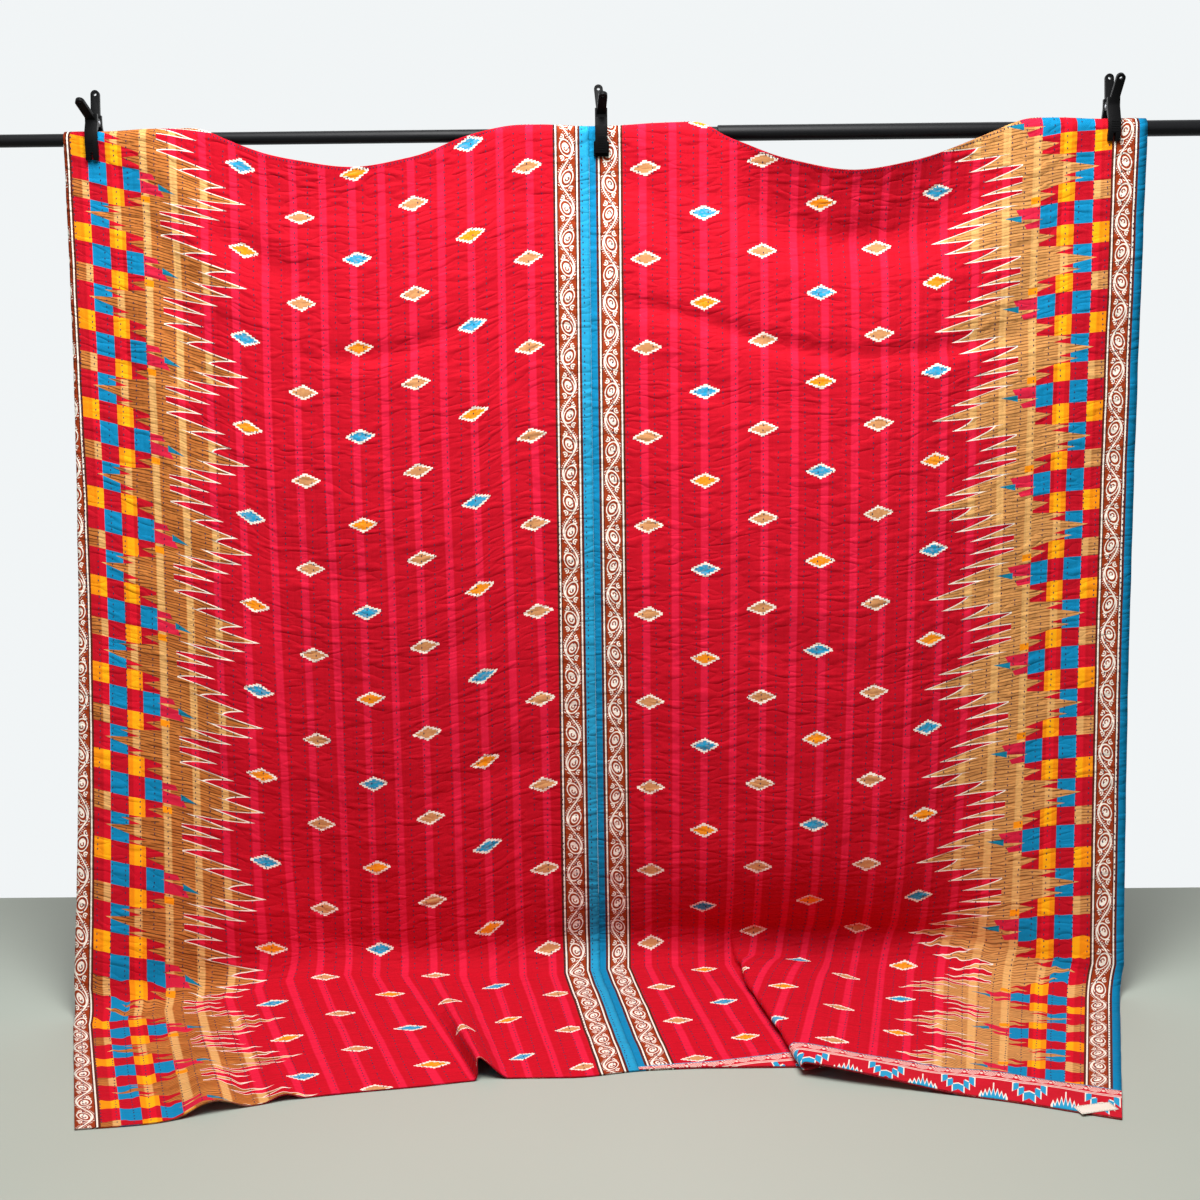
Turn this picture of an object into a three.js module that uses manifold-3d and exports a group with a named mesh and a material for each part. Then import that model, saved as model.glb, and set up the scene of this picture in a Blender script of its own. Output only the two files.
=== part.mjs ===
// A kantha quilt clipped over a level two-tube rod by three spring clamps, its lower end lying
// forward on the floor. Millimetres, +Z up, floor at z = 0, the front of the quilt faces -Y.
import * as THREE from "three";
import { mergeVertices } from "three/addons/utils/BufferGeometryUtils.js";
import Module from "manifold-3d";

const wasm = await Module();
wasm.setup();

// Driving dimensions
const SEAT = 0.3; // gap between pieces that rest on each other
const QUILT = { width: 2195, seamAt: 1066, thickness: 3, leftX: -1095, rightX: 1095 };
const ROD = { axisZ: 1743, leftR: 13, rightR: 16, endX: 1330, rimX: 229, socket: 200, sides: 24 };
const FALL = { shoulder: 280, kickFrom: 0.84, bellyFrom: 0.05, lipLength: 120, narrowing: 1.5 };
const BINDING = { thickness: 1.5, rows: 3 };
const LABEL = { width: 70, depth: 30, thickness: 0.8, turn: 0.25, fromCorner: 40, fromHem: 44 };

// How the quilt hangs, a row for each line down the cloth, by its distance s from the left edge.
// hem: length past the rod's crest, behind it when positive and down the front when negative;
// lean: how far the foot of the hang stands forward; belly: how far its middle billows forward;
// kick: how far it is pushed back just above the floor; bend: radius of the turn onto the floor;
// lip: how far a slack stretch of top hem stands off the hang.
const HANG = [
  { s: 0, hem: 75, lean: 290, belly: 0, kick: 0, bend: 70, lip: 0 },
  { s: 57, hem: 72, lean: 280, belly: 0, kick: 0, bend: 70, lip: 0 },
  { s: 150, hem: 42, lean: 225, belly: 10, kick: 0, bend: 70, lip: 0 },
  { s: 254, hem: 0, lean: 160, belly: 20, kick: 0, bend: 70, lip: 0 },
  { s: 356, hem: -43, lean: 115, belly: 35, kick: 14, bend: 70, lip: 3 },
  { s: 465, hem: -71, lean: 36, belly: 35, kick: 0, bend: 70, lip: 6 },
  { s: 585, hem: -87, lean: 21, belly: 40, kick: 5, bend: 65, lip: 7 },
  { s: 699, hem: -70, lean: 31, belly: 40, kick: 10, bend: 60, lip: 6 },
  { s: 815, hem: -34, lean: 36, belly: 35, kick: 15, bend: 60, lip: 2 },
  { s: 937, hem: 0, lean: 36, belly: 35, kick: 25, bend: 60, lip: 0 },
  { s: 1083, hem: 70, lean: 31, belly: 42, kick: 55, bend: 55, lip: 0 },
  { s: 1179, hem: 40, lean: 22, belly: 50, kick: 72, bend: 55, lip: 0 },
  { s: 1270, hem: 0, lean: 30, belly: 60, kick: 90, bend: 55, lip: 3 },
  { s: 1364, hem: -52, lean: 45, belly: 70, kick: 120, bend: 50, lip: 16 },
  { s: 1469, hem: -89, lean: 65, belly: 80, kick: 140, bend: 50, lip: 30 },
  { s: 1600, hem: -112, lean: 65, belly: 80, kick: 140, bend: 50, lip: 36 },
  { s: 1720, hem: -94, lean: 80, belly: 70, kick: 120, bend: 55, lip: 30 },
  { s: 1837, hem: -55, lean: 85, belly: 50, kick: 85, bend: 60, lip: 12 },
  { s: 1941, hem: -16, lean: 127, belly: 25, kick: 27, bend: 65, lip: 3 },
  { s: 2050, hem: 40, lean: 170, belly: 5, kick: 0, bend: 70, lip: 0 },
  { s: 2128, hem: 72, lean: 200, belly: 0, kick: 0, bend: 70, lip: 0 },
  { s: 2195, hem: 75, lean: 210, belly: 0, kick: 0, bend: 70, lip: 0 },
];

// Radius of the cloth's inner face over the rod: close at the clamps, slack where the hem peels off
const PEEL = [
  { s: 0, radius: 14.2 },
  { s: 80, radius: 14.2 },
  { s: 180, radius: 18 },
  { s: 320, radius: 18 },
  { s: 420, radius: 15 },
  { s: 720, radius: 15 },
  { s: 815, radius: 18 },
  { s: 970, radius: 18 },
  { s: 1055, radius: 14.2 },
  { s: 1112, radius: 14.2 },
  { s: 1200, radius: 18.5 },
  { s: 1270, radius: 20 },
  { s: 1364, radius: 20 },
  { s: 1469, radius: 18 },
  { s: 1800, radius: 18 },
  { s: 1920, radius: 20.5 },
  { s: 2020, radius: 20.5 },
  { s: 2100, radius: 17.2 },
  { s: 2195, radius: 17.2 },
];

// Foot of the hang across the width, just above the turn and where the turn meets the floor
const FOOT = [
  { s: 0, above: -1080, on: -1064 },
  { s: 420, above: -690, on: -684 },
  { s: 690, above: -424, on: -418 },
  { s: 940, above: -164, on: -158 },
  { s: 1083, above: -10, on: -10 },
  { s: 1362, above: 254, on: 252 },
  { s: 2195, above: 1042, on: 1048 },
];

// Where the front hem lies on the floor, before the pleat draws the right part in
const FRONT = [
  { s: 0, x: -920, y: -812 },
  { s: 120, x: -802, y: -793 },
  { s: 223, x: -706, y: -754 },
  { s: 356, x: -570, y: -700 },
  { s: 470, x: -458, y: -672 },
  { s: 585, x: -346, y: -650 },
  { s: 673, x: -254, y: -628 },
  { s: 805, x: -190, y: -618 },
  { s: 937, x: -78, y: -617 },
  { s: 1083, x: 64, y: -588 },
  { s: 1200, x: 182, y: -580 },
  { s: 1340, x: 316, y: -580 },
  { s: 1490, x: 466, y: -578 },
  { s: 1610, x: 586, y: -622 },
  { s: 1700, x: 676, y: -655 },
  { s: 1830, x: 798, y: -690 },
  { s: 1954, x: 906, y: -722 },
  { s: 2195, x: 1110, y: -806 },
];

// Folds that stand up on the floor: s of the crest, flat width, height and sideways lean at the
// front hem, and the share of the way forward where each begins
const RIDGES = [
  { s: 228, width: 140, height: 22, lean: 6, from: 0.2 },
  { s: 345, width: 80, height: 11, lean: 0, from: 0.55 },
  { s: 739, width: 136, height: 42, lean: -22, from: -0.1 },
];

// The pleat, where the right part has slid left over the middle: the line s where it starts, the
// cloth hidden where the turn meets the floor and at the front hem, the lengths of the two turns,
// their angle, and the fall beyond
const PLEAT = { s: 1362, foot: 30, hem: 244, under: 14, over: 22, angle: 3.1, fall: 330, least: 60 };

// Width of the back cloth that is turned up over the front hem of the right panel
const TURNED = [
  { s: 1083, width: 12 },
  { s: 1200, width: 22 },
  { s: 1300, width: 48 },
  { s: 1480, width: 70 },
  { s: 1700, width: 92 },
  { s: 1900, width: 108 },
  { s: 2195, width: 112 },
];

// Rows of the cloth's grid in each zone: round the rod, shoulder, hang, turn onto the floor, floor
const ROWS = { rod: 12, shoulder: 4, hang: 8, turn: 5, floor: 7 };
const HANG_CLOSING = 1.45; // how much closer the hang's rows come together towards the floor
const LEFT_COLUMNS = [
  0, 30, 80, 120, 158, 193, 213, 228, 243, 263, 286, 305, 325, 345, 365, 385, 425, 465, 525, 585,
  635, 674, 690, 705, 718, 729, 739, 749, 760, 773, 788, 806, 830, 860, 900, 937, 968, 1000, 1030,
  1055, 1066,
];
const RIGHT_COLUMNS = [1066, 1088, 1112, 1145, 1179, 1212, 1245, 1275, 1310];
const PLEAT_TURN_STEPS = 4;
const PLEAT_TAIL = [0.12, 0.3, 0.5, 0.75, 1];
const RIGHT_TAIL_STEPS = 10;

// Spring clamps: the place x of each, the cloth's outer radius there, heights of its pivot above and
// of its jaw tips below the rod's axis, tilt of its front handle, sideways swing of its front and
// back handles and whether it has pads
const CLAMPS = [
  { name: "clamp_left", x: -1036, cloth: 17.2, pivot: 34, drop: 42, tilt: 0.95, front: -0.2, back: 0 },
  { name: "clamp_middle", x: -6, cloth: 17.2, pivot: 34, drop: 40, tilt: 0.95, front: 0.08, back: -0.1 },
  { name: "clamp_right", x: 1026, cloth: 20.2, pivot: 44, drop: 27, tilt: 0.5, front: 0.12, back: 0 },
];
const PADDED = "clamp_middle";
const CLAMP = {
  jawWidth: 25,
  jawThick: 7,
  pinR: 4,
  knuckleR: 8.5,
  handleWidth: 18,
  handleThick: 8,
  handleLength: 60,
  handleRise: 8,
  holeR: 3.2,
  notchWidth: 5,
  notchHeight: 17,
  backTilt: 0.12,
  standOff: 10.5,
  sides: 20,
};
const PAD = { width: 31, height: 30, thick: 7, rimZ: -16 };

const CLOTH = { left: 0xc01838, right: 0xc01838, binding: 0xc83250, label: 0xf2efe8 };
const BLACK = { tube: 0x15171a, plastic: 0x1c1d1f, spring: 0x8a8d90, pad: 0x141414 };

// A smooth curve through one column of a table that never overshoots its rows
function curve(rows, key) {
  const n = rows.length;
  const step = (i) => rows[i + 1].s - rows[i].s;
  const rise = (i) => (rows[i + 1][key] - rows[i][key]) / step(i);
  const slopes = rows.map((_, i) => {
    if (i === 0) return rise(0);
    if (i === n - 1) return rise(n - 2);
    const before = rise(i - 1);
    const after = rise(i);
    if (before * after <= 0) return 0;
    const near = 2 * step(i) + step(i - 1);
    const far = step(i) + 2 * step(i - 1);
    return (near + far) / (near / before + far / after);
  });
  return (s) => {
    let i = 0;
    while (i < n - 2 && s > rows[i + 1].s) i += 1;
    const h = step(i);
    const k = THREE.MathUtils.clamp((s - rows[i].s) / h, 0, 1);
    const blend = k * k * (3 - 2 * k);
    const start = k * (1 - k) * (1 - k) * h * slopes[i];
    const end = k * k * (k - 1) * h * slopes[i + 1];
    return rows[i][key] * (1 - blend) + rows[i + 1][key] * blend + start + end;
  };
}

const hang = Object.fromEntries(
  ["hem", "lean", "belly", "kick", "bend", "lip"].map((key) => [key, curve(HANG, key)]),
);
const peel = curve(PEEL, "radius");
const aboveX = curve(FOOT, "above");
const footX = curve(FOOT, "on");
const frontX = curve(FRONT, "x");
const frontY = curve(FRONT, "y");
const turnedWidth = curve(TURNED, "width");

const clamp01 = (v) => THREE.MathUtils.clamp(v, 0, 1);
const ease = (v) => clamp01(v) ** 2 * (3 - 2 * clamp01(v));

// The pleat's section at hidden length h: sideways place and height of the cloth at distance d
// past the line where the pleat starts
function pleatSection(d, h) {
  const under = Math.min(PLEAT.under, 0.36 * h);
  const over = Math.min(PLEAT.over, 0.5 * h);
  const angle = PLEAT.angle * Math.min(1, (h / 80) ** 0.6);
  const first = h / 2 - under / 2;
  const second = h - over / 2;
  const r1 = under / angle;
  const r2 = over / angle;
  if (h < 1 || d <= first) return { x: d, z: 0 };
  if (d <= first + under) {
    const g = (angle * (d - first)) / under;
    return { x: first + r1 * Math.sin(g), z: r1 * (1 - Math.cos(g)) };
  }
  const back = Math.min(d, second) - first - under;
  let x = first + r1 * Math.sin(angle) + back * Math.cos(angle);
  let z = r1 * (1 - Math.cos(angle)) + back * Math.sin(angle);
  if (d <= second) return { x, z };
  const g = angle * (1 - Math.min(1, (d - second) / over));
  x += r2 * (Math.sin(angle) - Math.sin(g));
  z += r2 * (Math.cos(g) - Math.cos(angle));
  const beyond = Math.max(0, d - second - over);
  const tail = ease(beyond / PLEAT.fall);
  const far = first + (r1 + r2) * Math.sin(angle) + (second - first - under) * Math.cos(angle);
  return { x: x + beyond + (second + over - h - far) * tail, z: z * (1 - tail) };
}

// Length of cloth that the pleat hides at stage q
function hiddenAt(q) {
  return PLEAT.foot * clamp01(q - 3) + (PLEAT.hem - PLEAT.foot) * clamp01(q - 4);
}

// Height of the clear edges of the hang, by line s
function hangLine(s) {
  const half = QUILT.thickness / 2;
  const radius = peel(s) + half;
  const quarter = (Math.PI * radius) / 2;
  const hemAt = -hang.hem(s);
  const hemZ = ROD.axisZ - Math.max(0, hemAt - quarter);
  const forward = (z) => {
    const down = 1 - z / ROD.axisZ;
    const pushed = clamp01((down - FALL.kickFrom) / (1 - FALL.kickFrom));
    const slack = clamp01(1 - (hemZ - z) / FALL.lipLength);
    const fall = clamp01((down - FALL.bellyFrom) / (1 - FALL.bellyFrom));
    const billow = hang.belly(s) * Math.sin(Math.PI * fall) * ease(fall / 0.06);
    const swing = hang.lean(s) * down ** 2 + billow - hang.kick(s) * pushed ** 2;
    return radius + swing + hang.lip(s) * slack ** 2;
  };
  const slope = (z) => Math.atan((forward(z - 1) - forward(z + 1)) / 2);
  const bend = hang.bend(s);
  let turnZ = half + bend;
  for (let i = 0; i < 6; i += 1) turnZ = half + bend * (1 - Math.sin(slope(turnZ)));
  return { radius, quarter, hemAt, forward, slope, bend, turnZ };
}

// Middle of the cloth on line s at stage q: 0 to 1 from the hem round the rod, to 2 down the
// shoulder, to 3 down the hang, to 4 through the turn onto the floor, to 5 at the front hem
function clothPoint(s, q) {
  const line = hangLine(s);
  const half = QUILT.thickness / 2;
  const topX = QUILT.leftX + (s / QUILT.width) * (QUILT.rightX - QUILT.leftX);
  const sideways = (z) => topX + (aboveX(s) - topX) * clamp01(1 - z / ROD.axisZ) ** FALL.narrowing;
  const onHang = (z) => new THREE.Vector3(sideways(z), -line.forward(z), z);
  const stage = Math.min(4, Math.floor(q));
  const part = q - stage;
  const rodEnd = Math.max(line.quarter, line.hemAt + 24);
  if (stage === 0) {
    const a = line.hemAt + (rodEnd - line.hemAt) * part;
    if (a > line.quarter) return onHang(ROD.axisZ - (a - line.quarter));
    if (a < -line.quarter) return new THREE.Vector3(topX, line.radius, ROD.axisZ + a + line.quarter);
    const turn = a / line.radius;
    const up = ROD.axisZ + line.radius * Math.cos(turn);
    return new THREE.Vector3(topX, -line.radius * Math.sin(turn), up);
  }
  const shoulderZ = ROD.axisZ - FALL.shoulder;
  const startZ = ROD.axisZ - (rodEnd - line.quarter);
  if (stage === 1) return onHang(THREE.MathUtils.lerp(startZ, shoulderZ, part));
  if (stage === 2) return onHang(THREE.MathUtils.lerp(shoulderZ, line.turnZ, part));
  const first = line.slope(line.turnZ);
  const pleat = pleatSection(s - PLEAT.s, hiddenAt(q));
  const slid = pleat.x - (s - PLEAT.s);
  const turned = (b) => {
    const y = -line.forward(line.turnZ) - line.bend * (Math.cos(first) - Math.cos(b));
    const z = line.turnZ - line.bend * (Math.sin(b) - Math.sin(first));
    const x = THREE.MathUtils.lerp(sideways(line.turnZ), footX(s), part) + slid;
    return new THREE.Vector3(x, y - pleat.z * Math.cos(b), z + pleat.z * Math.sin(b));
  };
  if (stage === 3) return turned(THREE.MathUtils.lerp(first, Math.PI / 2, part));
  const footY = -line.forward(line.turnZ) - line.bend * Math.cos(first);
  let x = THREE.MathUtils.lerp(footX(s), frontX(s), part) + slid;
  let z = half + pleat.z;
  for (const ridge of RIDGES) {
    const across = (s - ridge.s) / ridge.width;
    const grown = ease((part - ridge.from) / (1 - ridge.from));
    const bump = Math.abs(across) < 0.5 ? Math.cos(Math.PI * across) ** 2 * grown : 0;
    x += ridge.lean * bump;
    z += ridge.height * bump;
  }
  return new THREE.Vector3(x, THREE.MathUtils.lerp(footY, frontY(s), part), z);
}

// A grid node: the middle of the cloth and its normal, which points to the back
function clothNode(s, q) {
  const ds = 0.2;
  const dq = 0.002;
  const across = clothPoint(s + ds, q).sub(clothPoint(s - ds, q));
  const along = clothPoint(s, Math.min(5, q + dq)).sub(clothPoint(s, Math.max(0, q - dq)));
  return { point: clothPoint(s, q), normal: across.cross(along).normalize() };
}

// Stages of the grid's rows, with the last ones on the floor at the turned-up back cloth
function stages() {
  const rows = [];
  [ROWS.rod, ROWS.shoulder, ROWS.hang, ROWS.turn].forEach((count, zone) => {
    const closing = zone === 2 ? HANG_CLOSING : 1;
    for (let i = 0; i < count; i += 1) rows.push(() => zone + 1 - (1 - i / count) ** closing);
  });
  const floorLength = (s) => {
    const line = hangLine(s);
    const footY = -line.forward(line.turnZ) - line.bend * Math.cos(line.slope(line.turnZ));
    return footY - frontY(s);
  };
  const turnedFrom = (s) => 5 - turnedWidth(Math.max(s, QUILT.seamAt)) / floorLength(s);
  for (let i = 0; i < ROWS.floor; i += 1) rows.push((s) => 4 + ((turnedFrom(s) - 4) * i) / ROWS.floor);
  for (let i = 0; i <= BINDING.rows; i += 1) {
    rows.push((s) => THREE.MathUtils.lerp(turnedFrom(s), 5, i / BINDING.rows));
  }
  return rows;
}

// Lines s of the right panel's columns at stage q: they follow the pleat as it widens
function rightLines(q) {
  const h = Math.max(PLEAT.least, hiddenAt(q));
  const under = Math.min(PLEAT.under, 0.36 * h);
  const over = Math.min(PLEAT.over, 0.5 * h);
  const first = PLEAT.s + h / 2 - under / 2;
  const second = PLEAT.s + h - over / 2;
  const lines = RIGHT_COLUMNS.map((s, i) => (i === 0 ? s + SEAT / 2 : s));
  lines.push(PLEAT.s);
  for (let i = 0; i <= PLEAT_TURN_STEPS; i += 1) lines.push(first + (under * i) / PLEAT_TURN_STEPS);
  lines.push((first + under + second) / 2);
  for (let i = 0; i <= PLEAT_TURN_STEPS + 1; i += 1) {
    lines.push(second + (over * i) / (PLEAT_TURN_STEPS + 1));
  }
  for (const share of PLEAT_TAIL) lines.push(second + over + PLEAT.fall * share);
  const last = lines[lines.length - 1];
  for (let i = 1; i <= RIGHT_TAIL_STEPS; i += 1) {
    lines.push(THREE.MathUtils.lerp(last, QUILT.width, i / RIGHT_TAIL_STEPS));
  }
  return lines;
}

function leftLines() {
  return LEFT_COLUMNS.map((s) => (s === QUILT.seamAt ? s - SEAT / 2 : s));
}

// The grid of a panel: an array of rows of nodes
function panelGrid(linesAt) {
  return stages().map((stage) => {
    return linesAt(stage(PLEAT.s)).map((start, i) => {
      let s = start;
      for (let k = 0; k < 4; k += 1) s = linesAt(stage(s))[i];
      return clothNode(s, stage(s));
    });
  });
}

// A closed sheet between two offsets along the normals of a grid
function sheet(grid, front, back) {
  const rows = grid.length;
  const columns = grid[0].length;
  const positions = [];
  for (const offset of [front, back]) {
    for (const row of grid) {
      for (const node of row) {
        const p = node.point.clone().addScaledVector(node.normal, offset);
        positions.push(p.x, p.y, p.z);
      }
    }
  }
  const at = (side, r, c) => side * rows * columns + r * columns + c;
  const index = [];
  const quad = (a, b, c, d) => index.push(a, b, c, a, c, d);
  for (let r = 0; r < rows - 1; r += 1) {
    for (let c = 0; c < columns - 1; c += 1) {
      quad(at(0, r, c), at(0, r + 1, c), at(0, r + 1, c + 1), at(0, r, c + 1));
      quad(at(1, r, c), at(1, r, c + 1), at(1, r + 1, c + 1), at(1, r + 1, c));
    }
  }
  for (let c = 0; c < columns - 1; c += 1) {
    quad(at(0, 0, c), at(0, 0, c + 1), at(1, 0, c + 1), at(1, 0, c));
    quad(at(0, rows - 1, c + 1), at(0, rows - 1, c), at(1, rows - 1, c), at(1, rows - 1, c + 1));
  }
  for (let r = 0; r < rows - 1; r += 1) {
    quad(at(0, r + 1, 0), at(0, r, 0), at(1, r, 0), at(1, r + 1, 0));
    quad(at(0, r, columns - 1), at(0, r + 1, columns - 1), at(1, r + 1, columns - 1), at(1, r, columns - 1));
  }
  const geometry = new THREE.BufferGeometry();
  geometry.setAttribute("position", new THREE.Float32BufferAttribute(positions, 3));
  geometry.setIndex(index);
  geometry.computeVertexNormals();
  return geometry;
}

// Joins and cuts
function solid(geometry) {
  const bare = new THREE.BufferGeometry().setAttribute("position", geometry.getAttribute("position"));
  bare.setIndex(geometry.index);
  const merged = mergeVertices(bare, 1e-4);
  return new wasm.Manifold(
    new wasm.Mesh({
      numProp: 3,
      vertProperties: new Float32Array(merged.getAttribute("position").array),
      triVerts: new Uint32Array(merged.index.array),
    }),
  );
}

function geometryOf(made) {
  const mesh = made.getMesh();
  const geometry = new THREE.BufferGeometry();
  geometry.setAttribute("position", new THREE.BufferAttribute(mesh.vertProperties, 3));
  geometry.setIndex(new THREE.BufferAttribute(mesh.triVerts, 1));
  geometry.computeVertexNormals();
  return geometry;
}

const quilt = new THREE.Group();

function add(name, geometry, color, roughness, metalness = 0) {
  const material = new THREE.MeshStandardMaterial({ color, roughness, metalness });
  const mesh = new THREE.Mesh(geometry, material);
  mesh.name = name;
  quilt.add(mesh);
  return mesh;
}

// The two quilted panels, the turned-up back cloth and the blank label
function addCloth() {
  const half = QUILT.thickness / 2;
  const rightGrid = panelGrid(rightLines);
  add("left_panel", sheet(panelGrid(leftLines), -half, half), CLOTH.left, 0.9);
  add("right_panel", sheet(rightGrid, -half, half), CLOTH.right, 0.9);
  const turned = rightGrid.slice(-BINDING.rows - 1);
  const top = half + SEAT + BINDING.thickness;
  add("binding", sheet(turned, -top, -half - SEAT), CLOTH.binding, 0.9);
  const corner = clothPoint(QUILT.width, 5);
  const plate = new THREE.BoxGeometry(LABEL.width, LABEL.depth, LABEL.thickness);
  plate.rotateZ(LABEL.turn);
  const labelZ = half + top + SEAT + LABEL.thickness / 2;
  plate.translate(corner.x - LABEL.fromCorner, corner.y + LABEL.fromHem, labelZ);
  add("label", plate, CLOTH.label, 0.8);
}

// The rod: a slim left tube that slides into the socket of a thicker right tube
function addRod() {
  const slim = new THREE.CylinderGeometry(ROD.leftR, ROD.leftR, 1, ROD.sides);
  const length = ROD.endX + ROD.rimX + ROD.socket - SEAT;
  slim.scale(1, length, 1);
  slim.rotateZ(-Math.PI / 2);
  slim.translate(-ROD.endX + length / 2, 0, ROD.axisZ);
  add("rod_left", slim, BLACK.tube, 0.35, 0.4);
  const bore = ROD.leftR + SEAT;
  const profile = [
    new THREE.Vector2(0, ROD.rimX + ROD.socket),
    new THREE.Vector2(bore, ROD.rimX + ROD.socket),
    new THREE.Vector2(bore, ROD.rimX),
    new THREE.Vector2(ROD.rightR, ROD.rimX),
    new THREE.Vector2(ROD.rightR, ROD.endX),
    new THREE.Vector2(0, ROD.endX),
  ];
  const thick = new THREE.LatheGeometry(profile, ROD.sides);
  thick.rotateZ(-Math.PI / 2);
  thick.translate(0, 0, ROD.axisZ);
  add("rod_right", thick, BLACK.tube, 0.35, 0.4);
}

// A flat outline in (forward, up) pulled out to a width across the clamp
function across(points, width) {
  const shape = new THREE.Shape(points.map(([f, z]) => new THREE.Vector2(f, z)));
  const geometry = new THREE.ExtrudeGeometry(shape, { depth: width, bevelEnabled: false });
  geometry.translate(0, 0, -width / 2);
  // forward, up, across become -Y, Z, -X
  geometry.applyMatrix4(new THREE.Matrix4().set(0, 0, -1, 0, -1, 0, 0, 0, 0, 1, 0, 0, 0, 0, 0, 1));
  return geometry;
}

// A round piece on the pivot axis between two places across the clamp
function onPivot(clamp, radius, from, to) {
  const disc = new THREE.CylinderGeometry(radius, radius, to - from, CLAMP.sides);
  disc.rotateZ(Math.PI / 2);
  disc.translate((from + to) / 2, 0, clamp.pivot);
  return disc;
}

// A handle: a plate with a round end and a hanging hole, swung sideways and tilted out
function handle(clamp, tilt, swing) {
  const w = CLAMP.handleWidth / 2;
  const shape = new THREE.Shape();
  shape.moveTo(-w, 0);
  shape.lineTo(w, 0);
  shape.lineTo(w, CLAMP.handleLength - w);
  shape.absarc(0, CLAMP.handleLength - w, w, 0, Math.PI);
  shape.lineTo(-w, 0);
  const hole = new THREE.Path();
  hole.absarc(0, CLAMP.handleLength - w, CLAMP.holeR, 0, 2 * Math.PI, true);
  shape.holes.push(hole);
  const plate = new THREE.ExtrudeGeometry(shape, {
    depth: CLAMP.handleThick,
    bevelEnabled: false,
    curveSegments: 8,
  });
  plate.rotateX(Math.PI / 2);
  plate.rotateY(swing);
  plate.rotateX(tilt);
  plate.translate(0, -CLAMP.standOff, clamp.pivot + CLAMP.handleRise);
  return plate;
}

// One lever, drawn as the front one: jaw, handle and two cheeks on the pivot
function lever(clamp, tilt, swing, cheekFrom, cheekTo) {
  const padded = clamp.name === PADDED;
  const face = clamp.cloth + SEAT + (padded ? PAD.thick + SEAT : 0);
  const off = CLAMP.standOff;
  const z = clamp.pivot;
  const t = CLAMP.jawThick;
  const jaw = across(
    [
      [face, -clamp.drop],
      [face + t, -clamp.drop],
      [face + t + 3, -8],
      [face + t + 2, 14],
      [off + CLAMP.handleThick, z - 2],
      [off + CLAMP.handleThick, z + 16],
      [off, z + 16],
      [off, z - 9],
      [clamp.cloth + 4.5, 12],
      [clamp.cloth + 4.5, -6],
      [face, PAD.rimZ + 2],
    ],
    CLAMP.jawWidth,
  );
  let made = solid(jaw).add(solid(handle(clamp, tilt, swing)));
  for (const side of [-1, 1]) {
    const from = side < 0 ? -cheekTo : cheekFrom;
    const to = side < 0 ? -cheekFrom : cheekTo;
    const bridge = new THREE.BoxGeometry(to - from, off + 2, 2 * CLAMP.knuckleR - 2);
    bridge.translate((from + to) / 2, -(off + 2) / 2, z);
    made = made.add(solid(onPivot(clamp, CLAMP.knuckleR, from, to))).add(solid(bridge));
  }
  made = made.subtract(solid(onPivot(clamp, CLAMP.pinR + SEAT, -CLAMP.jawWidth, CLAMP.jawWidth)));
  if (!padded) {
    const notch = new THREE.BoxGeometry(CLAMP.notchWidth, 60, CLAMP.notchHeight);
    notch.translate(0, -face, -clamp.drop + CLAMP.notchHeight / 2 - 1);
    made = made.subtract(solid(notch));
  }
  return geometryOf(made);
}

// A clamp on the rod: front and back levers, pivot pin, spring ring and, on one of them, jaw pads
function addClamp(clamp) {
  const place = (geometry) => geometry.translate(clamp.x, 0, ROD.axisZ);
  const front = lever(clamp, clamp.tilt, clamp.front, 7.4, 11.5);
  const back = lever(clamp, CLAMP.backTilt, -clamp.back, 3.9, 7.1);
  back.rotateZ(Math.PI);
  add(clamp.name + "_front_lever", place(front), BLACK.plastic, 0.55);
  add(clamp.name + "_back_lever", place(back), BLACK.plastic, 0.55);
  add(clamp.name + "_pin", place(onPivot(clamp, CLAMP.pinR, -12.4, 12.4)), BLACK.spring, 0.4, 0.8);
  const ring = [
    new THREE.Vector2(CLAMP.pinR + SEAT, -3.5),
    new THREE.Vector2(CLAMP.knuckleR - 1, -3.5),
    new THREE.Vector2(CLAMP.knuckleR - 1, 3.5),
    new THREE.Vector2(CLAMP.pinR + SEAT, 3.5),
    new THREE.Vector2(CLAMP.pinR + SEAT, -3.5),
  ];
  const spring = new THREE.LatheGeometry(ring, CLAMP.sides);
  spring.rotateZ(Math.PI / 2);
  spring.translate(0, 0, clamp.pivot);
  add(clamp.name + "_spring", place(spring), BLACK.spring, 0.4, 0.8);
  if (clamp.name !== PADDED) return;
  for (const side of [-1, 1]) {
    const pad = new THREE.BoxGeometry(PAD.width, PAD.thick, PAD.height);
    const y = side * (clamp.cloth + SEAT + PAD.thick / 2);
    pad.translate(0, y, PAD.rimZ - PAD.height / 2);
    add(clamp.name + (side < 0 ? "_front_pad" : "_back_pad"), place(pad), BLACK.pad, 0.6);
  }
}

addCloth();
addRod();
CLAMPS.forEach(addClamp);

// The origin is the middle of the whole part's box, on the floor
const box = new THREE.Box3().setFromObject(quilt);
quilt.position.set(-(box.min.x + box.max.x) / 2, -(box.min.y + box.max.y) / 2, 0);

export default quilt;
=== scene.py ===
"""A kantha quilt clipped over a rod: the looks of its cloth, stitching, tubes and clamps."""

import logging
import math
from dataclasses import dataclass
from enum import Enum
from typing import Callable, Mapping, Sequence

import bmesh
import bpy
import numpy as np
from mathutils import Euler, Matrix, Vector


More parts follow.
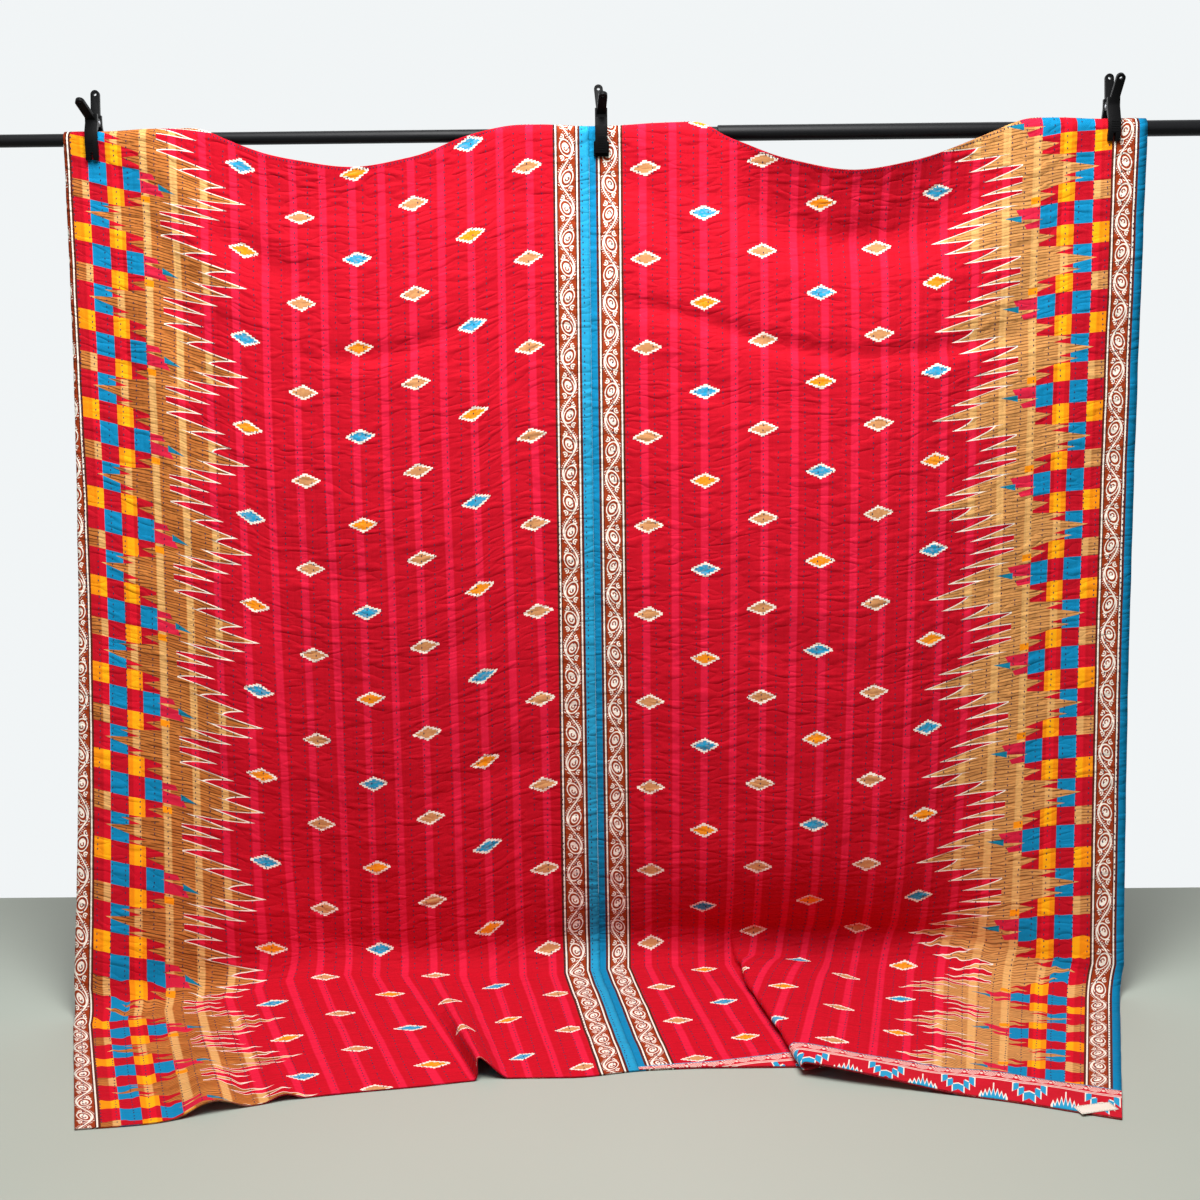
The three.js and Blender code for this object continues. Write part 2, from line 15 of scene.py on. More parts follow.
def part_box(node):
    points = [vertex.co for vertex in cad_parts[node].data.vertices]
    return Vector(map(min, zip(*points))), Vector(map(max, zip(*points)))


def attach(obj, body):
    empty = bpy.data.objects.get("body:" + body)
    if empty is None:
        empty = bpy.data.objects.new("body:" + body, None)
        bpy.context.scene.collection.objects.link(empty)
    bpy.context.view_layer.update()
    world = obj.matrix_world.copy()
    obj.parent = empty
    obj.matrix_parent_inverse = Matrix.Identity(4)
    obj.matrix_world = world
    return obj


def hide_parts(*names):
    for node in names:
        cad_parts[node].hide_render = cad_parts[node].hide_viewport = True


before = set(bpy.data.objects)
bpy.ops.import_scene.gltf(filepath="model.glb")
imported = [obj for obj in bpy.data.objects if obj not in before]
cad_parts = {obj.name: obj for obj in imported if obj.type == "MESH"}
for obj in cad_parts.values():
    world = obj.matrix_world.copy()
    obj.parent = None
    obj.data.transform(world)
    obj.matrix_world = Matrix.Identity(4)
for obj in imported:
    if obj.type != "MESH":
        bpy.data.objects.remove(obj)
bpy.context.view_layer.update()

LOG = logging.getLogger("kantha_quilt")
MM = 0.001
# stage of the cloth at its front hem
FRONT_HEM = 5.0

Array = np.ndarray
Colour = tuple[float, float, float, float]


def ink(red: int, green: int, blue: int) -> Colour:
    """A colour as the eye names it, 0 to 255 each, made linear for the shaders.

    Args:
        red: Red.
        green: Green.
        blue: Blue.

    Returns:
        The colour.
    """

    def linear(level: int) -> float:
        """One channel made linear."""
        share = level / 255
        return share / 12.92 if share <= 0.04045 else ((share + 0.055) / 1.055) ** 2.4

    return (linear(red), linear(green), linear(blue), 1.0)


class Dye(Enum):
    """The cloth's colours."""

    FIELD = ink(208, 6, 36)
    FIELD_DEEP = ink(174, 3, 25)
    STRIPE = ink(228, 28, 66)
    CHECK_RED = ink(186, 6, 30)
    PINK = ink(206, 28, 60)
    TAN = ink(204, 124, 58)
    TAN_DEEP = ink(174, 97, 40)
    TAN_LIGHT = ink(234, 182, 112)
    FAWN = ink(202, 140, 90)
    HATCH = ink(78, 40, 16)
    YELLOW = ink(246, 144, 8)
    BLUE = ink(4, 128, 176)
    BLUE_LIGHT = ink(34, 152, 196)
    TEAL = ink(10, 120, 150)
    WHITE = ink(244, 234, 220)
    RUST = ink(150, 54, 18)
    BROWN = ink(84, 30, 18)
    BACK_RED = ink(202, 14, 40)
    NAVY = ink(20, 20, 66)


def add_node(
    tree: bpy.types.NodeTree,
    kind: str,
    settings: Mapping[str, object],
    inputs: Mapping[str | int, object],
) -> bpy.types.Node:
    """Adds one node to a tree.

    Args:
        tree: The tree.
        kind: The node's type.
        settings: Its properties.
        inputs: Values or links of its sockets.

    Returns:
        The node.
    """
    made = tree.nodes.new(kind)
    for key, value in settings.items():
        setattr(made, key, value)
    for key, value in inputs.items():
        if isinstance(value, bpy.types.NodeSocket):
            tree.links.new(value, made.inputs[key])
        else:
            made.inputs[key].default_value = value
    return made


def add_object(name: str, data: bpy.types.ID) -> bpy.types.Object:
    """Puts a mesh, a camera or a lamp in the scene, at the origin.

    Args:
        name: The object's name.
        data: What it shows.

    Returns:
        The object.
    """
    made = bpy.data.objects.new(name, data)
    bpy.context.collection.objects.link(made)
    return made


def box_of(node: str) -> tuple[Array, Array]:
    """The low and the high corner of a node of the model, in metres."""
    low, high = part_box(node)
    return np.array(low), np.array(high)


class Sock:
    """A value in a shader tree that Python's arithmetic builds on."""

    def __init__(self, shade: "Shade", socket: bpy.types.NodeSocket) -> None:
        """Wraps a node's output.

        Args:
            shade: The tree that the output is in.
            socket: The output.
        """
        self.shade = shade
        self.socket = socket

    def math(self, operation: str, *others: "Sock | float", clamp: bool = False) -> "Sock":
        """Adds a Math node on this value.

        Args:
            operation: The Math node's operation.
            others: Its other inputs.
            clamp: Whether the result is held between 0 and 1.

        Returns:
            The node's value.
        """
        inputs = {0: self, **{place + 1: other for place, other in enumerate(others)}}
        settings = {"operation": operation, "use_clamp": clamp}
        return self.shade.node("ShaderNodeMath", settings, inputs)

    def __add__(self, other: "Sock | float") -> "Sock":
        """This plus another."""
        return self.math("ADD", other)

    __radd__ = __add__

    def __sub__(self, other: "Sock | float") -> "Sock":
        """This minus another."""
        return self.math("SUBTRACT", other)

    def __rsub__(self, other: float) -> "Sock":
        """A number minus this."""
        return self.math("MULTIPLY_ADD", -1.0, other)

    def __mul__(self, other: "Sock | float") -> "Sock":
        """This times another."""
        return self.math("MULTIPLY", other)

    __rmul__ = __mul__

    def __truediv__(self, other: "Sock | float") -> "Sock":
        """This over another."""
        return self.math("DIVIDE", other)

    def __abs__(self) -> "Sock":
        """This without its sign."""
        return self.math("ABSOLUTE")

    def __lt__(self, other: "Sock | float") -> "Sock":
        """1 where this is less."""
        return self.math("LESS_THAN", other)

    def __gt__(self, other: "Sock | float") -> "Sock":
        """1 where this is greater."""
        return self.math("GREATER_THAN", other)

    def floor(self) -> "Sock":
        """The whole number below."""
        return self.math("FLOOR")

    def fract(self) -> "Sock":
        """What is past the whole number below."""
        return self.math("FRACT")

    def sin(self) -> "Sock":
        """The sine."""
        return self.math("SINE")

    def least(self, other: "Sock | float") -> "Sock":
        """The smaller of the two."""
        return self.math("MINIMUM", other)

    def most(self, other: "Sock | float") -> "Sock":
        """The larger of the two."""
        return self.math("MAXIMUM", other)

    def share(self, width: float) -> "Sock":
        """This over a width, held between 0 and 1."""
        return self.math("DIVIDE", width, clamp=True)

    def within(self, low: float, high: float) -> "Sock":
        """1 where this is between two numbers."""
        return self.math("COMPARE", (low + high) / 2, (high - low) / 2)

    def root(self) -> "Sock":
        """The square root."""
        return self.math("SQRT")

    def saw(self, period: float) -> "Sock":
        """Distance from the nearest whole number of periods, with its sign."""
        return ((self / period + 0.5).fract() - 0.5) * period


Paint = Sock | Dye | Colour


class Shade:
    """A material and the nodes in it."""

    def __init__(self, name: str) -> None:
        """Starts an empty material.

        Args:
            name: The finish's name.
        """
        self.material = bpy.data.materials.new(name)
        self.material.use_nodes = True
        self.tree = self.material.node_tree
        self.tree.nodes.clear()

    def node(
        self,
        kind: str,
        settings: Mapping[str, object] | None = None,
        inputs: Mapping[str | int, object] | None = None,
        output: str | int = 0,
    ) -> Sock:
        """Adds one node.

        Args:
            kind: The node's type.
            settings: Its properties.
            inputs: Values or links of its sockets.
            output: The output that is wanted.

        Returns:
            That output.
        """
        plain = {
            key: value.socket if isinstance(value, Sock) else value
            for key, value in (inputs or {}).items()
        }
        made = add_node(self.tree, kind, settings or {}, plain)
        return Sock(self, made.outputs[output] if made.outputs else None)

    def steps(self, value: Sock, stops: Sequence[tuple[float, Dye]]) -> Sock:
        """A colour that changes in steps.

        Args:
            value: From 0 to 1.
            stops: Where each colour starts.

        Returns:
            The colour.
        """
        made = self.node("ShaderNodeValToRGB", inputs={"Fac": value})
        ramp = made.socket.node.color_ramp
        ramp.interpolation = "CONSTANT"
        while len(ramp.elements) < len(stops):
            ramp.elements.new(1.0)
        for element, (place, dye) in zip(ramp.elements, stops):
            element.position = place
            element.color = dye.value
        return made

    def mix(self, share: "Sock | float", below: Paint, above: Paint) -> Sock:
        """One colour over another.

        Args:
            share: How much of the upper one shows.
            below: The lower colour.
            above: The upper colour.

        Returns:
            The mixed colour.
        """
        inputs: dict[str | int, object] = {0: share}
        for place, colour in ((6, below), (7, above)):
            inputs[place] = colour.value if isinstance(colour, Dye) else colour
        return self.node("ShaderNodeMix", {"data_type": "RGBA"}, inputs, 2)

    def flat_place(self, name: str) -> tuple[Sock, Sock]:
        """The two numbers of a UV map, in metres on the flat cloth.

        Args:
            name: The UV map.

        Returns:
            Across and along.
        """
        place = self.node("ShaderNodeUVMap", {"uv_map": name})
        across = self.node("ShaderNodeSeparateXYZ", inputs={0: place})
        return across, Sock(self, across.socket.node.outputs[1])

    def object_place(self) -> Sock:
        """The place on the piece, in metres."""
        return self.node("ShaderNodeTexCoord", output="Object")

    def vector(self, x: "Sock | float", y: "Sock | float", z: "Sock | float" = 0.0) -> Sock:
        """A vector from three numbers."""
        return self.node("ShaderNodeCombineXYZ", inputs={0: x, 1: y, 2: z})

    def noise(self, place: Sock, scale: float, detail: float = 2.0, rough: float = 0.5) -> Sock:
        """Soft noise from 0 to 1.

        Args:
            place: Where it is read.
            scale: Its fineness.
            detail: Its octaves.
            rough: The weight of the finer ones.

        Returns:
            The noise.
        """
        inputs = {"Vector": place, "Scale": scale, "Detail": detail, "Roughness": rough}
        return self.node("ShaderNodeTexNoise", {"noise_dimensions": "3D"}, inputs)

    def grain(
        self,
        across: Sock,
        along: Sock,
        scale: tuple[float, float],
        detail: float = 1.0,
        rough: float = 0.5,
    ) -> Sock:
        """Soft noise on the flat cloth, as fine as asked across and along it.

        Args:
            across: Place across the cloth.
            along: Place along it.
            scale: Its fineness both ways.
            detail: Its octaves.
            rough: The weight of the finer ones.

        Returns:
            The noise.
        """
        return self.noise(self.vector(across * scale[0], along * scale[1]), 1.0, detail, rough)

    def random(self, value: Sock) -> Sock:
        """A number from 0 to 1 that is another for each value."""
        return self.node("ShaderNodeTexWhiteNoise", {"noise_dimensions": "1D"}, {"W": value})

    def bump(self, height: Sock, depth: float) -> Sock:
        """A normal that follows a height from 0 to 1, which stands for a depth in metres."""
        inputs = {"Strength": 1.0, "Distance": depth, "Height": height}
        return self.node("ShaderNodeBump", inputs=inputs)

    def surface(self, inputs: Mapping[str | int, object]) -> bpy.types.Material:
        """Closes the material with a Principled surface.

        Args:
            inputs: Its sockets.

        Returns:
            The material.
        """
        shader = self.node("ShaderNodeBsdfPrincipled", inputs=inputs)
        self.node("ShaderNodeOutputMaterial", inputs={"Surface": shader})
        return self.material


class Zone(Enum):
    """Parts of a panel that have different things woven into them."""

    FIELD = 0
    EDGE = 1
    SEAM = 2


@dataclass(frozen=True)
class KanthaCloth:
    """The quilt's patterned face, on the flat cloth in metres.

    Across runs from the outer finished edge, and along runs down the left panel from the middle of
    a blue check, so on the right panel, which is turned end for end, it runs up.
    """

    repeat: float = 0.1848
    stripe_first: float = 0.2215
    stripe_pitch: float = 0.0615
    stripe_half: float = 0.0092
    stripe_soft: float = 0.003
    stripe_gain: Colour = (1.28, 1.5, 1.45, 1.0)
    lozenge_first: float = 0.423
    lozenge_pitch: float = 0.1184
    lozenge_half: tuple[float, float] = (0.0302, 0.0148)
    lozenge_core: tuple[float, float] = (0.0238, 0.0100)
    lozenge_blunt: float = 1.1
    thread_step: float = 0.0031
    fray: float = 0.003
    pick_pitch: float = 0.0064
    checks: tuple[float, ...] = (0.071, 0.105, 0.142, 0.176, 0.212, 0.250, 0.279)
    check_rows: tuple[float, ...] = (0.0, 0.252, 0.456, 0.772)
    check_phase: float = 0.126
    # the block beside a blue check: its start in the repeat, its width there and its growth
    block: tuple[float, float, float] = (0.02, 0.025, 0.098)
    # the dart past it: start and end in the repeat, and how fast it narrows to the end
    dart: tuple[float, float, float] = (0.105, 0.18, 2.1)
    # the small yellow check: start and end in the repeat, and width
    spark: tuple[float, float, float] = (0.285, 0.36, 0.019)
    teeth: int = 7
    tooth_skew: float = 0.28
    tooth_edge: float = 0.004
    tooth_core: tuple[float, float] = (0.072, 0.95)
    tip_wander: float = 0.022
    tip_reach: float = 3.15
    tips: tuple[float, float] = (0.334, 0.095)
    valleys: tuple[float, float] = (0.360, 0.33)
    flame_rise: float = 0.012
    outer_border: float = 0.0155
    border_end: float = 0.0550
    selvedge_width: float = 0.02
    band_scale: float = 10.0
    scroll: tuple[float, float] = (0.0104, 0.0452)
    scroll_repeat: float = 0.122
    stitch_rows: float = 0.028
    floor_from: float = 1.62
    floor_wobble: float = 0.034
    pucker: float = 0.0032
    selvedge: Dye = Dye.BLUE
    faded: float = 0.0

    def material(self, zone: Zone) -> bpy.types.Material:
        """Makes the finish of one zone.

        Args:
            zone: The zone.

        Returns:
            The finish.
        """
        shade = Shade(f"kantha_{zone.name.lower()}")
        across, along = shade.flat_place("weave")
        seam, _ = shade.flat_place("sewn")
        offset = abs((across - self.stripe_first).saw(self.stripe_pitch))
        stripe = (self.stripe_half - offset).share(self.stripe_soft)
        colour = self._field(shade, across, along, stripe)
        if zone is not Zone.SEAM:
            line = (along / self.thread_step).floor()
            frayed = across + (shade.random(line) - 0.5) * self.fray
            colour = self._lozenges(shade, colour, frayed, (line + 0.5) * self.thread_step)
        if zone is Zone.EDGE:
            drawn = along + self._wobble(shade, across, along)
            hatched = self._hatch(shade, across, drawn, stripe)
            colour = self._flames(shade, colour, across, drawn, hatched)
            colour = self._checks(shade, colour, across, drawn, stripe, hatched)
            colour = self._border(shade, colour, across - self.outer_border, along)
        if zone is Zone.SEAM:
            colour = self._border(shade, colour, seam, along)
        return shade.surface(
            {
                "Base Color": colour,
                "Roughness": 0.86,
                "Specular IOR Level": 0.16,
                "Normal": shade.bump(self._relief(shade, across, along), self.pucker),
            }
        )

    def _wobble(self, shade: Shade, across: Sock, along: Sock) -> Sock:
        """How far the stretch on the floor is pushed up and down by its puckers."""
        pushed = shade.grain(across, along, (34.0, 11.0), rough=0.4) - 0.5
        return pushed * (abs(along) - self.floor_from).share(0.12) * self.floor_wobble

    def _field(self, shade: Shade, across: Sock, along: Sock, stripe: Sock) -> Sock:
        """The red ground and its lighter woven stripes.

        Args:
            shade: The tree.
            across: Place across the cloth.
            along: Place along it.
            stripe: 1 on the lighter stripes.

        Returns:
            The colour.
        """
        streak = shade.grain(across, along, (14.0, 190.0), rough=0.6)
        ground = shade.mix(streak, Dye.FIELD_DEEP, Dye.FIELD)
        return shade.mix(stripe * (streak * 0.5 + 0.5), ground, Dye.STRIPE)

    def _lozenges(self, shade: Shade, ground: Sock, across: Sock, along: Sock) -> Sock:
        """Stepped lozenges in six columns, tan in every other one.

        Args:
            shade: The tree.
            ground: The colour below.
            across: Place across the cloth.
            along: Place along it.

        Returns:
            The colour with them on it.
        """
        column = ((across - self.lozenge_first) / self.lozenge_pitch + 0.5).floor()
        aside = abs(across - self.lozenge_first - column * self.lozenge_pitch)
        odd = (column * 0.5).fract() * 2.0
        level = along / self.repeat - (1 - odd) * 0.5
        row = (level + 0.5).floor()
        below = abs(level - row) * self.repeat
        blue = ((row + column * 0.5) * 0.5).fract() * 2.0
        paint = shade.mix(odd, shade.mix(blue, Dye.YELLOW, Dye.BLUE_LIGHT), Dye.FAWN)
        thread = shade.grain(across, along, (130.0, 300.0), 0.0)
        paint = shade.mix((thread - 0.45).share(0.4) * 0.3, paint, Dye.TAN_LIGHT)
        shapes = []
        for wide, high in (self.lozenge_half, self.lozenge_core):
            shapes.append(((aside / wide + below / high) < self.lozenge_blunt) * (aside < wide))
        outer, inner = shapes
        shown = outer * (column > -0.5)
        return shade.mix(shown, ground, shade.mix(inner, Dye.WHITE, paint))

    def _hatch(self, shade: Shade, across: Sock, along: Sock, stripe: Sock) -> Sock:
        """Tan threads with dark picks and light bars.

        Args:
            shade: The tree.
            across: Place across the cloth.
            along: Place along it.
            stripe: 1 on the lighter stripes.

        Returns:
            The colour.
        """
        drift = shade.grain(across, along, (9.0, 34.0))
        pick = abs((along / self.pick_pitch + drift * 2.6).fract() - 0.5)
        gap = shade.grain(across, along, (42.0, 150.0))
        base = shade.mix((drift - 0.3).share(0.4), Dye.TAN_DEEP, Dye.TAN)
        base = shade.mix(stripe * 0.8 + (1 - stripe) * self.faded * 0.5, base, Dye.TAN_LIGHT)
        dark = (0.19 - pick).share(0.1) * (gap - 0.3).share(0.12)
        return shade.mix(dark * (0.9 - self.faded * 0.25 - stripe * 0.5), base, Dye.HATCH)

    def _flames(
        self, shade: Shade, ground: Sock, across: Sock, along: Sock, hatched: Sock
    ) -> Sock:
        """The hatched tan flames and their white-edged teeth.

        Args:
            shade: The tree.
            ground: The colour below.
            across: Place across the cloth.
            along: Place along it.
            hatched: The hatched tan.

        Returns:
            The colour with them on it.
        """
        along = along + self.flame_rise
        place = along * (self.teeth / self.repeat) + self.tooth_skew
        tooth = place.floor()
        inside = place - tooth
        wander = (shade.random(tooth) - 0.5) * self.tip_wander
        near = abs(tooth.saw(self.teeth)) * (1 / self.tip_reach)
        tip = (1 - near).most(0.02) * self.tips[1] + self.tips[0] + wander
        valley = self.valleys[0] - abs(along.saw(self.repeat)) * (self.valleys[1] / self.repeat)
        rise = tip - valley
        white = valley + rise * self._tooth(inside, 0.0, 1.0)
        colour = shade.mix(across < white, ground, Dye.WHITE)
        tan = valley + (rise - self.tooth_edge) * self._tooth(inside, *self.tooth_core)
        return shade.mix(across < tan, colour, hatched)

    def _tooth(self, inside: Sock, start: float, end: float) -> Sock:
        """A tooth's outline, from 0 at its ends to 1 at its point."""
        short = (inside - start) * (1 / self.tooth_skew)
        return short.least((end - inside) * (1 / (1 - self.tooth_skew)))

    def _checks(
        self, shade: Shade, ground: Sock, across: Sock, along: Sock, stripe: Sock, hatched: Sock
    ) -> Sock:
        """Five columns of checks, with the flames' tails running into them.

        Args:
            shade: The tree.
            ground: The colour below.
            across: Place across the cloth.
            along: Place along it.
            stripe: 1 on the lighter stripes.
            hatched: The hatched tan.

        Returns:
            The colour with them on it.
        """
        phase = (along / self.repeat + self.check_phase).fract()
        columns = (
            (Dye.CHECK_RED, Dye.CHECK_RED, Dye.CHECK_RED, Dye.YELLOW),
            (Dye.BLUE, Dye.CHECK_RED, Dye.BLUE, Dye.CHECK_RED),
            (Dye.CHECK_RED, Dye.YELLOW, Dye.CHECK_RED, Dye.YELLOW),
            (Dye.BLUE, Dye.CHECK_RED, Dye.CHECK_RED, Dye.CHECK_RED),
        )
        paint: Sock = ground
        for column, dyes in reversed(list(enumerate(columns))):
            stops = list(zip(self.check_rows, dyes))
            paint = shade.mix(across < self.checks[column + 1], paint, shade.steps(phase, stops))
        lit = {0: stripe * (across < self.checks[4]), 6: paint, 7: self.stripe_gain}
        settings = {"data_type": "RGBA", "blend_type": "MULTIPLY", "clamp_result": True}
        paint = shade.node("ShaderNodeMix", settings, lit, 2)
        inner, outer = self.checks[4:6]
        start, width, growth = self.block
        pink = phase.within(start, self.check_rows[1]) * (across > inner)
        pink = pink * (across < inner + width + phase * growth)
        paint = shade.mix(pink, paint, Dye.PINK)
        paint = shade.mix(self._tails(phase, across), paint, hatched)
        start, end, narrowing = self.dart
        wedge = (across > outer) * (phase < end)
        wedge = wedge * (phase > start + (across - outer) * narrowing)
        paint = shade.mix(wedge, paint, Dye.TEAL)
        start, end, width = self.spark
        small = phase.within(start, end) * across.within(inner, inner + width)
        return shade.mix(small, paint, Dye.YELLOW)

    def _tails(self, phase: Sock, across: Sock) -> Sock:
        """1 where the flames' tails cover the checks: two tan checks, then pointed tails.

        Args:
            phase: Place in the repeat, from 0 to 1.
            across: Place across the cloth.

        Returns:
            1 or 0.
        """
        tails = phase.within(*self.check_rows[1:3]) * (across < self.checks[1])
        deep = (across > self.checks[3]) * (across < self.checks[4])
        tails = tails.most(phase.within(*self.check_rows[2:4]) * deep)
        # middle of the tail in the repeat, its point, its half height a metre further in
        for middle, point, spread in (
            (0.615, 0.094, 1.05),
            (0.500, 0.126, 0.95),
            (0.742, 0.138, 0.95),
            (0.356, 0.181, 1.55),
            (0.900, 0.178, 1.55),
            (0.105, 0.206, 0.75),
        ):
            wide = (across - point) * spread
            tails = tails.most((abs(phase - middle) < wide) * (across < self.checks[5]))
        return tails

    def _border(self, shade: Shade, ground: Sock, inset: Sock, along: Sock) -> Sock:
        """A scroll border between lines, and the blue selvedge outside it.

        Args:
            shade: The tree.
            ground: The colour below.
            inset: Place in from the border's edge.
            along: Place along it.

        Returns:
            The colour with it on.
        """
        bands = (
            (0.0, self.selvedge),
            (self.selvedge_width, Dye.BROWN),
            (0.0247, Dye.WHITE),
            (0.0278, Dye.BROWN),
            (0.0304, Dye.RUST),
            (0.0652, Dye.BROWN),
            (0.0674, Dye.WHITE),
            (0.0704, Dye.BROWN),
        )
        stops = [(place * self.band_scale, dye) for place, dye in bands]
        paint = shade.steps((inset + self.selvedge_width) * self.band_scale, stops)
        scrolls = self._scrolls(inset, along) * inset.within(*self.scroll)
        paint = shade.mix(scrolls, paint, Dye.WHITE)
        return shade.mix(inset < self.border_end, ground, paint)

    def _scrolls(self, inset: Sock, along: Sock) -> Sock:
        """1 where white shows: a loop in each bend of a waving stem, and curls beside it.

        Args:
            inset: Place across the border, in metres.
            along: Place along it.

        Returns:
            1 or 0, from sizes in millimetres about the middle of each bend.
        """
        half = self.scroll_repeat / 2
        cell = along / half
        bend = cell.floor()
        turn = (bend * 0.5).fract() * 4000.0 - 1000.0
        x = (inset - (self.scroll[0] + self.scroll[1]) / 2) * turn
        y = (cell - bend - 0.5) * (half * 1000)
        u = x * 0.92 + y * 0.39 - 1.2
        w = y * 0.92 - x * 0.39
        loop = (u * u * (1 / 95) + w * w * (1 / 230)).root()
        outside = loop > 1.02
        white = loop.within(1.04, 1.24).most(loop < 0.70)
        hook = ((u - 0.4) * (u - 0.4) + (w - 1.6) * (w - 1.6) * 0.6).root()
        white = white * (1 - hook.within(2.0, 4.2) * (u * 1.4 + w > -1.5))
        stem = abs(x + (y * (math.pi / 61)).math("COSINE") * 14.0)
        white = white.most((stem < 1.9) * outside)
        hairs = stem.within(3.6, 6.6) * ((y - x * 0.6) * 0.19).fract().within(0.36, 0.70)
        side = (abs(x) - 9.8) * (abs(x) - 9.8) + (abs(y) - 21.5) * (abs(y) - 21.5)
        curl = side.root()
        open_ring = curl.within(3.4, 5.9) * (abs(x) + abs(y) * 0.4 < 20.6)
        curls = open_ring.most(curl < 1.9) * (x > 0.0)
        clear = outside * ((curl > 7.2).most(x < 0.0)) * (loop > 1.45)
        return white.most(curls * outside).most(hairs * clear)

    def _relief(self, shade: Shade, across: Sock, along: Sock) -> Sock:
        """Puckers between the quilting rows.

        Args:
            shade: The tree.
            across: Place across the cloth.
            along: Place along it.

        Returns:
            The height.
        """
        sway = shade.grain(across, along, (6.0, 8.0), 0.0)
        bent = shade.vector(across * 17.0, along * 50.0 + sway * 1.5)
        ripple = shade.noise(bent, 1.0, 1.0, 0.45)
        crease = (abs(ripple - 0.5) * 3.2).least(1.0)
        row = (abs(across.saw(self.stitch_rows)) * (5.0 / self.stitch_rows)).least(1.0)
        return ripple * 0.9 + crease * (2 - crease) * 0.45 + row * 0.14


@dataclass(frozen=True)
class BackCloth:
    """The printed back of the quilt, which shows where it is turned up over the hem.

    Across runs along the hem and down runs from the turned strip's upper edge, in metres.
    """

    repeat: float = 0.135
    band: float = 0.130
    arm_step: tuple[float, float] = (0.0102, 0.0178)
    arm_low: float = 0.047
    arm_steps: float = 3.0
    flame_half: tuple[float, float] = (0.0275, 0.0235)
    flame_foot: float = 0.080
    spike: float = 0.0078
    scallop: float = 0.034
    scallop_pitch: float = 0.0325
    scallop_line: float = 0.0026
    fan: float = 0.0205
    spot: float = 0.0031

    def material(self) -> bpy.types.Material:
        """Makes the finish.

        Returns:
            The finish.
        """
        shade = Shade("back_cloth")
        across, down = shade.flat_place("weave")
        cloudy = shade.noise(shade.vector(across, down), 14.0, 3.0, 0.6)
        weave = shade.grain(across, down, (900.0, 900.0), 0.0)
        ripple = shade.grain(across, down, (40.0, 60.0), 2.0)
        down = (down / self.band).fract() * self.band
        colour = shade.mix((cloudy - 0.3).share(0.5), Dye.CHECK_RED, Dye.BACK_RED)
        colour = self._crowns(shade, colour, across, down - self.scallop)
        colour = self._flames(shade, colour, across, down - self.scallop)
        colour = self._scallops(shade, colour, across, down)
        return shade.surface(
            {
                "Base Color": colour,
                "Roughness": 0.84,
                "Specular IOR Level": 0.25,
                "Normal": shade.bump(ripple + weave * 0.2, 0.0016),
            }
        )

    def _crowns(self, shade: Shade, ground: Sock, across: Sock, down: Sock) -> Sock:
        """Stepped blue arms with hanging points that meet low down, with white edges.

        Args:
            shade: The tree.
            ground: The colour below.
            across: Place across the cloth.
            down: Place down from the strip's upper edge.

        Returns:
            The colour with them on it.
        """
        run = abs(across.saw(self.repeat))
        colour = ground
        for inset, edge, dye in ((0.0022, 0.0030, Dye.WHITE), (0.0, 0.0, Dye.BLUE_LIGHT)):
            place = (run - inset) / self.arm_step[0]
            step = place.floor().most(0.0)
            slant = place - step
            middle = self.arm_low - step * self.arm_step[1]
            over = down > middle - 0.0150 - edge + slant * 0.007
            under = down < middle + 0.011 + edge + slant * 0.013
            colour = shade.mix(over * under * (place < self.arm_steps), colour, dye)
        return colour

    def _flames(self, shade: Shade, ground: Sock, across: Sock, down: Sock) -> Sock:
        """Small spiky flames on thin stems, between the stepped arms.

        Args:
            shade: The tree.
            ground: The colour below.
            across: Place across the cloth.
            down: Place down from the strip's upper edge.

        Returns:
            The colour with them on it.
        """
        run = abs((across + self.repeat / 2).saw(self.repeat))
        comb = 1 - abs((run / self.spike + 0.5).fract() - 0.5) * 2.0
        reach = (0.030 - run).share(0.030)
        top = 0.070 - reach * 0.014 - comb * (reach * 0.020 + 0.014)
        foot = down < self.flame_foot
        white = (down > top) * (run < self.flame_half[0])
        stem = (run < 0.0012) * (down > 0.012)
        blue = (down > top + 0.010) * (run < self.flame_half[1])
        colour = shade.mix(white.most(stem) * foot, ground, Dye.WHITE)
        return shade.mix(blue * foot, colour, Dye.BLUE_LIGHT)

    def _scallops(self, shade: Shade, ground: Sock, across: Sock, down: Sock) -> Sock:
        """A strip of hanging fans and dots between a blue line and two pale ones.

        Args:
            shade: The tree.
            ground: The colour below.
            across: Place across the cloth.
            down: Place down from the strip's upper edge.

        Returns:
            The colour with them on it.
        """
        run = across.saw(self.scallop_pitch)
        below = down - 0.003
        fan = (run * run * 1.9 + below * below).root()
        rib = ((fan + run * 0.5) / 0.0046).fract() < 0.55
        spot_run = (across + self.scallop_pitch / 2).saw(self.scallop_pitch)
        spot_rise = down - 0.0135
        spot = (spot_run * spot_run + spot_rise * spot_rise * 0.5).root() < self.spot
        fans = (rib * (fan < self.fan)).most(spot)
        colour = shade.mix(fans * 0.75, Dye.BACK_RED, Dye.WHITE)
        rails = down.within(0.0255, 0.0285).most(down.within(0.0305, self.scallop))
        colour = shade.mix(rails * 0.7, colour, Dye.WHITE)
        colour = shade.mix(down < self.scallop_line, colour, Dye.BLUE_LIGHT)
        return shade.mix(down < self.scallop, ground, colour)


